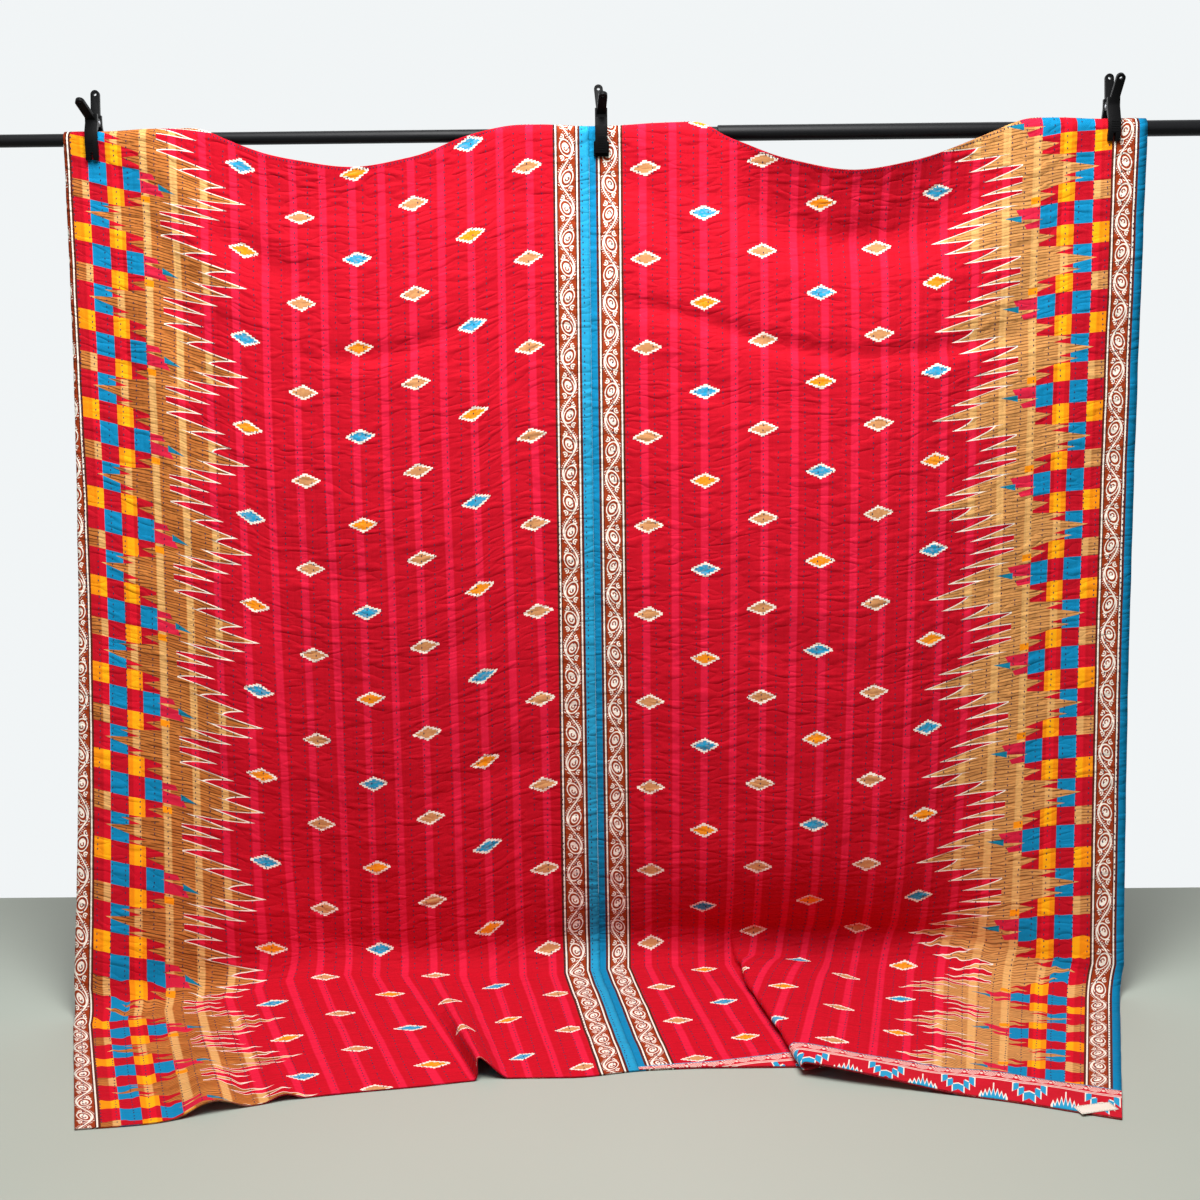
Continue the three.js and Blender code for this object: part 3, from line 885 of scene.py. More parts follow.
@dataclass(frozen=True)
class Thread:
    """Cotton thread."""

    dye: Dye = Dye.NAVY

    def material(self) -> bpy.types.Material:
        """Makes the finish.

        Returns:
            The finish.
        """
        shade = Shade("thread_" + self.dye.name.lower())
        twist = shade.noise(shade.object_place(), 900.0, 1.0)
        colour = shade.mix((twist - 0.45).share(3.0), self.dye, Dye.WHITE)
        return shade.surface({"Base Color": colour, "Roughness": 0.8, "Specular IOR Level": 0.2})


@dataclass(frozen=True)
class LabelTape:
    """Blank woven tape."""

    def material(self) -> bpy.types.Material:
        """Makes the finish.

        Returns:
            The finish.
        """
        shade = Shade("label_tape")
        across, down = shade.flat_place("weave")
        rib = (across * (2 * math.pi / 0.0011)).sin() * (down * (2 * math.pi / 0.0016)).sin()
        cloudy = shade.noise(shade.vector(across, down), 60.0, 2.0)
        colour = shade.mix((cloudy - 0.45).share(2.0), Dye.WHITE, Dye.TAN_LIGHT)
        normal = shade.bump(rib * 0.5 + cloudy, 0.0003)
        return shade.surface({"Base Color": colour, "Roughness": 0.7, "Normal": normal})


@dataclass(frozen=True)
class BlackFinish:
    """Black moulded plastic or painted tube."""

    name: str
    tone: tuple[int, int, int]
    worn: tuple[int, int, int]
    grain: float
    depth: float
    gloss: float
    shine: float

    def material(self) -> bpy.types.Material:
        """Makes the finish.

        Returns:
            The finish.
        """
        shade = Shade(self.name)
        place = shade.object_place()
        fine = shade.noise(place, self.grain, 2.0, 0.6)
        broad = shade.noise(place, 9.0, 3.0, 0.6)
        wear = (broad * 0.6 + fine * 0.4 - 0.35).share(0.6)
        colour = shade.mix(wear, ink(*self.tone), ink(*self.worn))
        rough = (broad - 0.5) * 0.18 + (1 - self.gloss)
        return shade.surface(
            {
                "Base Color": colour,
                "Roughness": rough,
                "Specular IOR Level": self.shine,
                "Normal": shade.bump(fine, self.depth),
            }
        )


@dataclass(frozen=True)
class SpringSteel:
    """Bright drawn steel."""

    def material(self) -> bpy.types.Material:
        """Makes the finish.

        Returns:
            The finish.
        """
        shade = Shade("clamp_steel")
        drawn = shade.noise(shade.object_place(), 1200.0, 2.0, 0.7)
        colour = shade.mix(drawn, ink(120, 122, 126), ink(178, 180, 184))
        rough = drawn * 0.2 + 0.28
        return shade.surface({"Base Color": colour, "Metallic": 1.0, "Roughness": rough})


Rows = Sequence[tuple[float, ...]]


def curve_through(rows: Rows, column: int) -> Callable[[Array], Array]:
    """A smooth curve through one column of a table that never overshoots its rows.

    Args:
        rows: The table, with the place in the first column.
        column: The column that is wanted.

    Returns:
        The curve, as a function of place.
    """
    place = np.array([row[0] for row in rows], float)
    value = np.array([row[column] for row in rows], float)
    step = np.diff(place)
    rise = np.diff(value) / step
    slope = np.empty_like(value)
    slope[0], slope[-1] = rise[0], rise[-1]
    for i in range(1, len(value) - 1):
        before, after = rise[i - 1], rise[i]
        near, far = 2 * step[i] + step[i - 1], step[i] + 2 * step[i - 1]
        slope[i] = 0.0 if before * after <= 0 else (near + far) / (near / before + far / after)

    def read(s: Array) -> Array:
        """The curve's value.

        Args:
            s: Places on it.

        Returns:
            The values there.
        """
        s = np.asarray(s, float)
        i = np.clip(np.searchsorted(place, s, side="left") - 1, 0, len(step) - 1)
        k = np.clip((s - place[i]) / step[i], 0, 1)
        blend = k * k * (3 - 2 * k)
        start = k * (1 - k) ** 2 * step[i] * slope[i]
        end = k * k * (k - 1) * step[i] * slope[i + 1]
        return value[i] * (1 - blend) + value[i + 1] * blend + start + end

    return read


def ease(value: Array) -> Array:
    """From 0 to 1 with soft ends."""
    value = np.clip(value, 0, 1)
    return value * value * (3 - 2 * value)


@dataclass
class Drape:
    """The shape that the quilt hangs in, in millimetres from the rod's axis and the floor.

    A place on the cloth is its flat distance s from the left edge and its stage q: 0 to 1 from the
    top hem round the rod, to 2 down the shoulder, to 3 down the hang, to 4 through the turn onto
    the floor and to 5 at the front hem.
    """

    width: float = 2195
    seam: float = 1066
    thickness: float = 3
    top: tuple[float, float] = (-1095, 1095)
    rod_z: float = 1743
    rod_half: float = 1.33
    shoulder: float = 280
    kick_from: float = 0.84
    belly_from: float = 0.05
    billow_start: float = 0.06
    lip_length: float = 120
    lip_start: float = 30
    least_roll: float = 24
    narrowing: float = 1.5
    columns: tuple[str, ...] = ("hem", "lean", "belly", "kick", "bend", "lip")
    # s, then the columns: hem is its length past the crest
    hang: Rows = (
        (0, 75, 290, 0, 0, 70, 0), (57, 72, 280, 0, 0, 70, 0), (150, 42, 225, 10, 0, 70, 0),
        (254, 0, 160, 20, 0, 70, 0), (356, -43, 115, 35, 14, 70, 3), (465, -71, 36, 35, 0, 70, 6),
        (585, -87, 21, 40, 5, 65, 7), (699, -70, 31, 40, 10, 60, 6),
        (815, -34, 36, 35, 15, 60, 2), (937, 0, 36, 35, 25, 60, 0), (1083, 70, 31, 42, 55, 55, 0),
        (1179, 40, 22, 50, 72, 55, 0), (1270, 0, 30, 60, 90, 55, 3),
        (1364, -52, 45, 70, 120, 50, 16), (1469, -89, 65, 80, 140, 50, 30),
        (1600, -112, 65, 80, 140, 50, 36), (1720, -94, 80, 70, 120, 55, 30),
        (1837, -55, 85, 50, 85, 60, 12), (1941, -16, 127, 25, 27, 65, 3),
        (2050, 40, 170, 5, 0, 70, 0), (2128, 72, 200, 0, 0, 70, 0), (2195, 75, 210, 0, 0, 70, 0),
    )
    # s, radius of the inner face over the rod
    peel: Rows = (
        (0, 14.2), (80, 14.2), (180, 18), (320, 18), (420, 15), (720, 15), (815, 18), (970, 18),
        (1055, 14.2), (1112, 14.2), (1200, 18.5), (1270, 20), (1364, 20), (1469, 18), (1800, 18),
        (1920, 20.5), (2020, 20.5), (2100, 17.2), (2195, 17.2),
    )
    # s, x just above the turn onto the floor, x where the turn meets it
    foot: Rows = (
        (0, -1080, -1064), (420, -690, -684), (690, -424, -418), (940, -164, -158),
        (1083, -10, -10), (1362, 254, 252), (2195, 1042, 1048),
    )
    # s, x and y of the front hem, before the pleat draws the right part in
    front: Rows = (
        (0, -920, -812), (120, -802, -793), (223, -706, -754), (356, -570, -700),
        (470, -458, -672), (585, -346, -650), (673, -254, -628), (805, -190, -618),
        (937, -78, -617), (1083, 64, -588), (1200, 182, -580), (1340, 316, -580),
        (1490, 466, -578), (1610, 586, -622), (1700, 676, -655), (1830, 798, -690),
        (1954, 906, -722), (2195, 1110, -806),
    )
    # s of the crest, flat width, height, lean, share of the floor run where it begins
    ridges: Rows = ((228, 140, 22, 6, 0.2), (345, 80, 11, 0, 0.55), (739, 136, 42, -22, -0.1))
    pleat_s: float = 1362
    pleat_foot: float = 30
    pleat_hem: float = 244
    pleat_under: float = 14
    pleat_over: float = 22
    pleat_shares: tuple[float, float] = (0.36, 0.5)
    pleat_full: float = 80
    pleat_angle: float = 3.1
    pleat_fall: float = 330
    pleat_least: float = 60
    # s, distance of the first row of tan lozenges below the rod's crest, along the cloth
    rows_left: Rows = (
        (0, 40), (47, 51), (200, 95), (356, 144), (465, 162), (585, 164), (699, 146), (815, 126),
        (937, 78), (1083, 60),
    )
    rows_right: Rows = (
        (1083, 76), (1179, 82), (1297, 86), (1413, 74), (1524, 70), (1646, 66), (1768, 48),
        (1941, 18), (2104, -8), (2195, -15),
    )
    # distance below the crest, how much lower the rows lie there than the tables above say
    lower: Rows = ((0, 18), (250, 15), (500, 9), (750, 3), (1000, 0), (2400, 0))
    # the same in the left panel alone: near the top, and down its left edge
    lower_top: Rows = ((0, 18), (110, 16), (220, 2), (300, 0), (2400, 0))
    lower_edge: Rows = (
        (0, 0), (900, 0), (1190, -12), (1410, -21), (1640, -21), (1850, -14), (2300, 0),
    )
    # s, share of the shift near the top and of the one down the edge
    lower_share: Rows = ((0, 1, 1), (300, 1, 1), (540, 1, 0.35), (680, 0, 0), (1083, 0, 0))
    # distance down the cloth, width of the left border that is wrapped out of sight
    wrapped: Rows = ((0, 57), (500, 55), (930, 45), (1550, 34), (2300, 26))
    left_ease: float = 1.02
    probe: tuple[float, float] = (0.2, 0.002)
    table_lines: int = 881
    table_stages: int = 701

    def __post_init__(self) -> None:
        """Makes the curves and the table of lengths along the cloth."""
        tables = (
            (self.hang, self.columns),
            (self.peel, ("peel",)),
            (self.foot, ("above", "on")),
            (self.front, ("front_x", "front_y")),
            (self.rows_left, ("row_left",)),
            (self.rows_right, ("row_right",)),
            (self.lower, ("lower",)),
            (self.lower_top, ("lower_top",)),
            (self.lower_edge, ("lower_edge",)),
            (self.lower_share, ("top_share", "edge_share")),
            (self.wrapped, ("wrapped",)),
        )
        self.read = {
            name: curve_through(rows, i + 1)
            for rows, names in tables
            for i, name in enumerate(names)
        }
        low, high = box_of("rod_left")
        self.shift = np.array([low[0] + self.rod_half, (low[1] + high[1]) / 2, 0.0])
        self.lines = np.linspace(0, self.width, self.table_lines)
        self.stages = np.linspace(0, FRONT_HEM, self.table_stages)
        s, q = np.meshgrid(self.lines, self.stages, indexing="ij")
        path = self.point(s, q)
        step = np.linalg.norm(np.diff(path, axis=1), axis=2)
        self.lengths = np.pad(np.cumsum(step, axis=1), ((0, 0), (1, 0)))

    def line(self, s: Array) -> dict[str, Array]:
        """What is the same all down a line of the cloth.

        Args:
            s: The line.

        Returns:
            Its radius over the rod, quarter turn, place and height of its hem, and tables.
        """
        values = {name: self.read[name](s) for name in self.columns}
        radius = self.read["peel"](s) + self.thickness / 2
        quarter = math.pi / 2 * radius
        hem_at = -values["hem"]
        hem_z = self.rod_z - np.maximum(0, hem_at - quarter)
        return {**values, "radius": radius, "quarter": quarter, "hem_at": hem_at, "hem_z": hem_z}

    def forward(self, line: Mapping[str, Array], z: Array) -> Array:
        """How far the hang stands in front of the rod's axis.

        Args:
            line: The line, from line().
            z: Height.

        Returns:
            The distance.
        """
        down = 1 - z / self.rod_z
        pushed = np.clip((down - self.kick_from) / (1 - self.kick_from), 0, 1)
        slack = np.clip(1 - (line["hem_z"] - z) / self.lip_length, 0, 1)
        fall = np.clip((down - self.belly_from) / (1 - self.belly_from), 0, 1)
        billow = line["belly"] * np.sin(math.pi * fall) * ease(fall / self.billow_start)
        swing = line["lean"] * down**2 + billow - line["kick"] * pushed**2
        lip = line["lip"] * ease((line["hem_at"] - line["quarter"]) / self.lip_start)
        return line["radius"] + swing + lip * slack**2

    def slope(self, line: Mapping[str, Array], z: Array) -> Array:
        """The hang's angle from upright."""
        return np.arctan((self.forward(line, z - 1) - self.forward(line, z + 1)) / 2)

    def hidden(self, q: Array) -> Array:
        """Length of cloth that the pleat hides at stages."""
        grown = self.pleat_foot * np.clip(np.asarray(q) - 3, 0, 1)
        return grown + (self.pleat_hem - self.pleat_foot) * np.clip(np.asarray(q) - 4, 0, 1)

    def folds(self, hidden: Array) -> tuple[Array, Array, Array, Array]:
        """The pleat's two turns.

        Args:
            hidden: Length of cloth that it hides.

        Returns:
            Lengths of the lower and the upper turn, and where each starts.
        """
        under = np.minimum(self.pleat_under, self.pleat_shares[0] * hidden)
        over = np.minimum(self.pleat_over, self.pleat_shares[1] * hidden)
        return under, over, hidden / 2 - under / 2, hidden - over / 2

    def pleat(self, d: Array, hidden: Array) -> tuple[Array, Array]:
        """The pleat's section.

        Args:
            d: Distance past the line where the pleat starts.
            hidden: Length of cloth that it hides.

        Returns:
            Place sideways and height.
        """
        h = np.maximum(hidden, 1e-6)
        under, over, first, second = self.folds(h)
        angle = self.pleat_angle * np.minimum(1, (h / self.pleat_full) ** 0.6)
        r1, r2 = under / angle, over / angle
        g1 = angle * np.clip((d - first) / under, 0, 1)
        back = np.clip(d, first + under, second) - first - under
        g2 = angle * (1 - np.clip((d - second) / over, 0, 1))
        beyond = np.maximum(0, d - second - over)
        x = np.minimum(d, first) + r1 * np.sin(g1) + back * np.cos(angle)
        x = x + r2 * (np.sin(angle) - np.sin(g2)) * (d > second) + beyond
        z = r1 * (1 - np.cos(g1)) + back * np.sin(angle)
        z = z + r2 * (np.cos(g2) - np.cos(angle)) * (d > second)
        tail = ease(beyond / self.pleat_fall)
        far = first + (r1 + r2) * np.sin(angle) + (second - first - under) * np.cos(angle)
        x, z = x + (second + over - h - far) * tail, z * (1 - tail)
        flat = (hidden < 1) | (d <= first)
        return np.where(flat, d, x), np.where(flat, 0.0, z)

    def point(self, s: Array, q: Array) -> Array:
        """Middle of the cloth.

        Args:
            s: Lines of the cloth.
            q: Stages.

        Returns:
            Points, in millimetres from the rod's axis and the floor.
        """
        s, q = np.broadcast_arrays(np.asarray(s, float), np.asarray(q, float))
        line = self.line(s)
        half = self.thickness / 2
        radius, quarter = line["radius"], line["quarter"]
        stage = np.minimum(4, np.floor(q))
        part = q - stage
        top_x = self.top[0] + s / self.width * (self.top[1] - self.top[0])
        above, on = self.read["above"](s), self.read["on"](s)
        turn_z = half + line["bend"]
        for _ in range(6):
            turn_z = half + line["bend"] * (1 - np.sin(self.slope(line, turn_z)))
        rod_end = np.maximum(quarter, line["hem_at"] + self.least_roll)
        a = line["hem_at"] + (rod_end - line["hem_at"]) * part
        start_z = self.rod_z - (rod_end - quarter)
        low_z = self.rod_z - self.shoulder
        z = np.select(
            [stage == 0, stage == 1],
            [self.rod_z - (a - quarter), start_z + (low_z - start_z) * part],
            low_z + (turn_z - low_z) * part,
        )
        fall = np.clip(1 - z / self.rod_z, 0, 1) ** self.narrowing
        hang = np.stack([top_x + (above - top_x) * fall, -self.forward(line, z), z], -1)
        turn = np.clip(a, -quarter, quarter) / radius
        tail = np.minimum(0, a + quarter)
        rod = np.stack(
            [top_x, -radius * np.sin(turn), self.rod_z + radius * np.cos(turn) + tail], -1
        )
        first = self.slope(line, turn_z)
        b = first + (math.pi / 2 - first) * part
        foot_x = top_x + (above - top_x) * np.clip(1 - turn_z / self.rod_z, 0, 1) ** self.narrowing
        base_y = -self.forward(line, turn_z)
        pleat_x, pleat_z = self.pleat(s - self.pleat_s, self.hidden(q))
        slid = pleat_x - (s - self.pleat_s)
        bent = np.stack(
            [
                foot_x + (on - foot_x) * part + slid,
                base_y - line["bend"] * (np.cos(first) - np.cos(b)) - pleat_z * np.cos(b),
                turn_z - line["bend"] * (np.sin(b) - np.sin(first)) + pleat_z * np.sin(b),
            ],
            -1,
        )
        floor = self._floor(s, part, on, base_y - line["bend"] * np.cos(first))
        floor = floor + np.stack([slid, np.zeros_like(slid), pleat_z], -1)
        over_rod = ((stage == 0) & (a <= quarter))[..., None]
        stage = stage[..., None]
        return np.select([over_rod, stage <= 2, stage == 3], [rod, hang, bent], floor)

    def _floor(self, s: Array, part: Array, foot_x: Array, foot_y: Array) -> Array:
        """The stretch that lies on the floor, without the pleat.

        Args:
            s: Lines of the cloth.
            part: Share of the way from the turn to the front hem.
            foot_x: Where the turn ends, sideways.
            foot_y: Where the turn ends, forward.

        Returns:
            Points.
        """
        x = foot_x + (self.read["front_x"](s) - foot_x) * part
        z = np.full_like(x, self.thickness / 2)
        for crest, width, height, lean, begins in self.ridges:
            across = np.clip((s - crest) / width, -0.5, 0.5)
            bump = np.cos(math.pi * across) ** 2 * ease((part - begins) / (1 - begins))
            x = x + lean * bump
            z = z + height * bump
        return np.stack([x, foot_y + (self.read["front_y"](s) - foot_y) * part, z], -1)

    def normal(self, s: Array, q: Array) -> Array:
        """The cloth's direction towards its back.

        Args:
            s: Lines of the cloth.
            q: Stages.

        Returns:
            Directions.
        """
        aside, ahead = self.probe
        across = self.point(s + aside, q) - self.point(s - aside, q)
        below = self.point(s, np.minimum(FRONT_HEM, q + ahead))
        along = below - self.point(s, np.maximum(0, q - ahead))
        cross = np.cross(across, along)
        return cross / np.linalg.norm(cross, axis=-1, keepdims=True)

    def length(self, s: Array, q: Array) -> Array:
        """Distance down the cloth from its top hem.

        Args:
            s: Lines of the cloth.
            q: Stages.

        Returns:
            The distance, in millimetres.
        """
        fs = np.clip(s / self.width * (self.table_lines - 1), 0, self.table_lines - 1.001)
        fq = np.clip(q / FRONT_HEM * (self.table_stages - 1), 0, self.table_stages - 1.001)
        i, j = fs.astype(int), fq.astype(int)
        u, v = fs - i, fq - j
        table = self.lengths
        near = table[i, j] * (1 - v) + table[i, j + 1] * v
        far = table[i + 1, j] * (1 - v) + table[i + 1, j + 1] * v
        return near * (1 - u) + far * u

    def whole(self, s: Array) -> Array:
        """Length of lines of the cloth, from the top hem to the front one."""
        return self.length(np.asarray(s), np.full_like(s, FRONT_HEM, dtype=float))

    def stage_at(self, s: float, lengths: Array) -> Array:
        """The stages at distances down one line of the cloth.

        Args:
            s: The line.
            lengths: Distances from the top hem.

        Returns:
            The stages.
        """
        along = self.length(np.full(self.table_stages, s), self.stages)
        return np.interp(lengths, along, self.stages)

    def placed(self, points: Array) -> Array:
        """Points in metres, in the part's own frame."""
        return points * MM + self.shift


class Side(Enum):
    """The quilt's two panels."""

    LEFT = "left"
    RIGHT = "right"


# Soft troughs and ridges pressed into the hang: s and distance down at both ends, width, depth
CREASES: Rows = (
    (110, 90, 300, 640, 55, 9.0), (70, 120, 150, 900, 45, 7.0), (190, 60, 400, 420, 60, -7.0),
    (330, 520, 420, 1150, 60, 5.0), (960, 110, 860, 560, 60, 7.0),
    (1010, 120, 1000, 900, 50, -5.0), (1110, 100, 1300, 340, 42, 10.0),
    (1120, 160, 1230, 700, 55, -7.0), (1060, 440, 1420, 378, 20, 11.0),
    (1290, 386, 1700, 372, 20, 12.0), (1560, 370, 1970, 425, 21, 11.0),
    (430, 392, 880, 374, 20, 9.0), (1320, 138, 1900, 138, 62, 31.0),
    (240, 200, 520, 235, 36, 11.0), (200, 1640, 640, 1640, 130, -16.0),
    (1160, 540, 1560, 500, 36, 4.5), (2060, 110, 1900, 560, 60, 9.0),
    (2120, 140, 2060, 900, 45, -5.5), (600, 1050, 900, 1010, 40, 5.0),
    (260, 800, 700, 860, 45, 4.5), (1300, 980, 1750, 1040, 45, 5.0),
    (200, 1240, 560, 1270, 40, -4.5), (640, 1330, 1040, 1300, 45, 5.5),
    (1420, 1310, 1900, 1290, 45, -5.0),
)


def relief(s: Array, a: Array) -> Array:
    """How far the face stands proud of its smooth shape.

    Args:
        s: Lines of the cloth, in millimetres.
        a: Distances down it.

    Returns:
        Millimetres towards the front.
    """
    # three swells, with their heights and lengths in millimetres
    wave = 1.1 * np.sin(s / 47 + 1.7 * np.sin(a / 173)) * np.sin(a / 31 + 1.3 * np.sin(s / 97))
    wave = wave + 0.8 * np.sin(s / 83 - a / 57 + 2 * np.sin(a / 211))
    wave = wave + 0.6 * np.sin(a / 15.5 + 2.2 * np.sin(s / 61) + 1.1 * np.sin(s / 23))
    for s0, a0, s1, a1, width, depth in CREASES:
        ds, da = s1 - s0, a1 - a0
        t = np.clip(((s - s0) * ds + (a - a0) * da) / (ds * ds + da * da), 0, 1)
        away = np.hypot(s - s0 - t * ds, a - a0 - t * da)
        fade = np.sin(math.pi * np.clip(t, 0.04, 0.96))
        wave = wave - depth * np.exp(-((away / width) ** 2)) * fade
    return wave


def new_mesh(
    name: str,
    points: Array,
    faces: Sequence[Sequence[int]] | Array,
    materials: Sequence[bpy.types.Material],
) -> bpy.types.Object:
    """A smooth-shaded mesh object at the origin.

    Args:
        name: Its name.
        points: Its vertices, in metres.
        faces: Its faces.
        materials: Its material slots.

    Returns:
        The object.
    """
    mesh = bpy.data.meshes.new(name)
    rows = faces.tolist() if isinstance(faces, np.ndarray) else [list(face) for face in faces]
    mesh.from_pydata(np.asarray(points, float).tolist(), [], rows)
    mesh.polygons.foreach_set("use_smooth", [True] * len(mesh.polygons))
    for material in materials:
        mesh.materials.append(material)
    return add_object(name, mesh)


def ring_faces(rings: int, sides: int) -> list[tuple[int, ...]]:
    """Faces of a closed tube: quads between rings of points, then a cap at each end.

    Args:
        rings: Rings of points.
        sides: Points in a ring.

    Returns:
        The faces.
    """
    quads = [
        (k + i, k + (i + 1) % sides, k + sides + (i + 1) % sides, k + sides + i)
        for k in range(0, (rings - 1) * sides, sides)
        for i in range(sides)
    ]
    caps = [tuple(reversed(range(sides))), tuple(range((rings - 1) * sides, rings * sides))]
    return quads + caps


def set_flat_place(piece: bpy.types.Object, name: str, place: Array) -> None:
    """Gives a mesh a UV map from a pair of numbers at each vertex.

    Args:
        piece: The object.
        name: The map's name.
        place: A pair for each vertex.
    """
    mesh = piece.data
    corner = np.empty(len(mesh.loops), dtype=np.int32)
    mesh.loops.foreach_get("vertex_index", corner)
    layer = mesh.uv_layers.new(name=name)
    layer.data.foreach_set("uv", np.asarray(place, np.float32)[corner].ravel())


def sheet_faces(rows: int, columns: int) -> tuple[Array, int]:
    """Faces of a closed sheet: a front grid of points, then a back one.

    Args:
        rows: Rows of points.
        columns: Columns of points.

    Returns:
        The faces, front ones first, and how many of them are the front's.
    """
    index = np.arange(rows * columns).reshape(rows, columns)
    back = index + rows * columns
    a, b, c, d = index[:-1, :-1], index[1:, :-1], index[1:, 1:], index[:-1, 1:]
    front = np.stack([a, b, c, d], -1).reshape(-1, 4)
    rear = np.stack([a, d, c, b], -1).reshape(-1, 4) + rows * columns
    ends = [
        np.stack([index[0, :-1], index[0, 1:], back[0, 1:], back[0, :-1]], -1),
        np.stack([index[-1, 1:], index[-1, :-1], back[-1, :-1], back[-1, 1:]], -1),
        np.stack([index[1:, 0], index[:-1, 0], back[:-1, 0], back[1:, 0]], -1),
        np.stack([index[:-1, -1], index[1:, -1], back[1:, -1], back[:-1, -1]], -1),
    ]
    return np.concatenate([front, *ends, rear]), len(front) + sum(len(end) for end in ends)


@dataclass
class Panel:
    """One half of the quilt, as a sheet."""

    drape: Drape
    side: Side
    faces: Mapping[Zone, bpy.types.Material]
    back: bpy.types.Material
    rows: tuple[int, ...] = (26, 30, 126, 18, 84)
    columns: int = 150
    right_columns: tuple[int, ...] = (46, 14, 10, 10, 12, 34, 24)
    lead: float = 40
    trail: float = 120
    gap: float = 0.3
    selvedges: tuple[float, float] = (18.5, 13)
    edge_width: float = 0.46
    seam_width: float = 0.058
    print_shift: float = 0.034
    calm_top: tuple[float, float] = (20, 120)
    calm_hem: float = 60

    def limits(self) -> tuple[float, float]:
        """The lines of the panel's two edges.

        Returns:
            The lower and the higher one.
        """
        if self.side is Side.LEFT:
            return 0.0, self.drape.seam - self.gap / 2
        return self.drape.seam + self.gap / 2, self.drape.width

    def lines(self, q: float) -> Array:
        """The lines s of the grid's columns at a stage, which follow the pleat as it widens.

        Args:
            q: The stage.

        Returns:
            One line for each column.
        """
        d = self.drape
        start, end = self.limits()
        if self.side is Side.LEFT:
            return np.linspace(start, end, self.columns)
        under, over, first, second = d.folds(max(d.pleat_least, float(d.hidden(q))))
        first, second = d.pleat_s + first, d.pleat_s + second
        knots = [start, d.pleat_s - self.lead, first, first + under, second, second + over]
        knots += [min(second + over + d.pleat_fall, d.width - self.trail), end]
        parts = [
            np.linspace(a, b, count, endpoint=False)
            for a, b, count in zip(knots, knots[1:], self.right_columns)
        ]
        return np.concatenate([*parts, [end]])

    def grid(self) -> tuple[Array, Array]:
        """Lines and stages of the grid's points, one row of the cloth after another.

        Returns:
            Both, as grids.
        """
        parts = [zone + np.arange(count) / count for zone, count in enumerate(self.rows)]
        stages = np.concatenate([*parts, [FRONT_HEM]])
        s = np.stack([self.lines(q) for q in stages])
        return s, np.broadcast_to(stages[:, None], s.shape)

    def weave(self, s: Array, a: Array) -> Array:
        """Where the pattern is read: across from the outer edge, and along.

        Args:
            s: Lines of the cloth.
            a: Distances down it.

        Returns:
            Pairs, in metres.
        """
        d = self.drape
        down = a - d.read["hem"](s)
        down = down - d.read["lower"](down)
        if self.side is Side.LEFT:
            across = d.read["wrapped"](a) + d.left_ease * s
            shift = d.read["lower_top"](down) * d.read["top_share"](s)
            down = down - shift - d.read["lower_edge"](down) * d.read["edge_share"](s)
            return np.stack([across, down - d.read["row_left"](s)], -1) * MM
        return np.stack([d.width - s, d.read["row_right"](s) - down], -1) * MM

    def sewn(self, s: Array, a: Array) -> Array:
        """Where the seam's border is read: in from its blue selvedge, and down the cloth."""
        selvedge = self.selvedges[list(Side).index(self.side)]
        return np.stack([abs(s - self.drape.seam) - selvedge, a], -1) * MM

    def surface(self, s: Array, q: Array, lift: float) -> tuple[Array, Array]:
        """Points on the panel, or off it.

        Args:
            s: Lines of the cloth.
            q: Stages.
            lift: Distance from the cloth's middle towards its face, in millimetres.

        Returns:
            The points, in metres, and the directions towards the face.
        """
        d = self.drape
        a = d.length(s, q)
        start, grown = self.calm_top
        calm = ease((a - start) / grown) * ease((d.whole(s) - a) / self.calm_hem)
        facing = -d.normal(s, q)
        rise = (relief(s, a) * calm)[..., None]
        return d.placed(d.point(s, q) + facing * (lift + rise)), facing

    def build(self) -> bpy.types.Object:
        """Makes the sheet.

        Returns:
            The sheet.
        """
        d = self.drape
        s, q = self.grid()
        a = d.length(s, q)
        half = d.thickness / 2
        points = [self.surface(s, q, lift)[0].reshape(-1, 3) for lift in (half, -half)]
        quads, fronts = sheet_faces(*s.shape)
        slots = [self.faces[zone] for zone in Zone] + [self.back]
        piece = new_mesh(f"{self.side.value}_quilt", np.concatenate(points), quads, slots)
        weave, sewn = self.weave(s, a).reshape(-1, 2), self.sewn(s, a).reshape(-1, 2)
        printed = np.stack([s, a], -1).reshape(-1, 2) * MM + self.print_shift
        set_flat_place(piece, "weave", np.concatenate([weave, printed]))
        set_flat_place(piece, "sewn", np.concatenate([sewn, sewn]))
        corner = np.where(quads >= s.size, quads - s.size, quads)
        edge = weave[corner, 0].min(1) < self.edge_width
        seam = sewn[corner, 0].min(1) < self.seam_width
        zones = np.where(edge, Zone.EDGE.value, Zone.FIELD.value)
        zones = np.where(seam, Zone.SEAM.value, zones)
        zones[fronts:] = len(Zone)
        piece.data.polygons.foreach_set("material_index", zones.astype(np.int32))
        piece.data.update()
        return piece


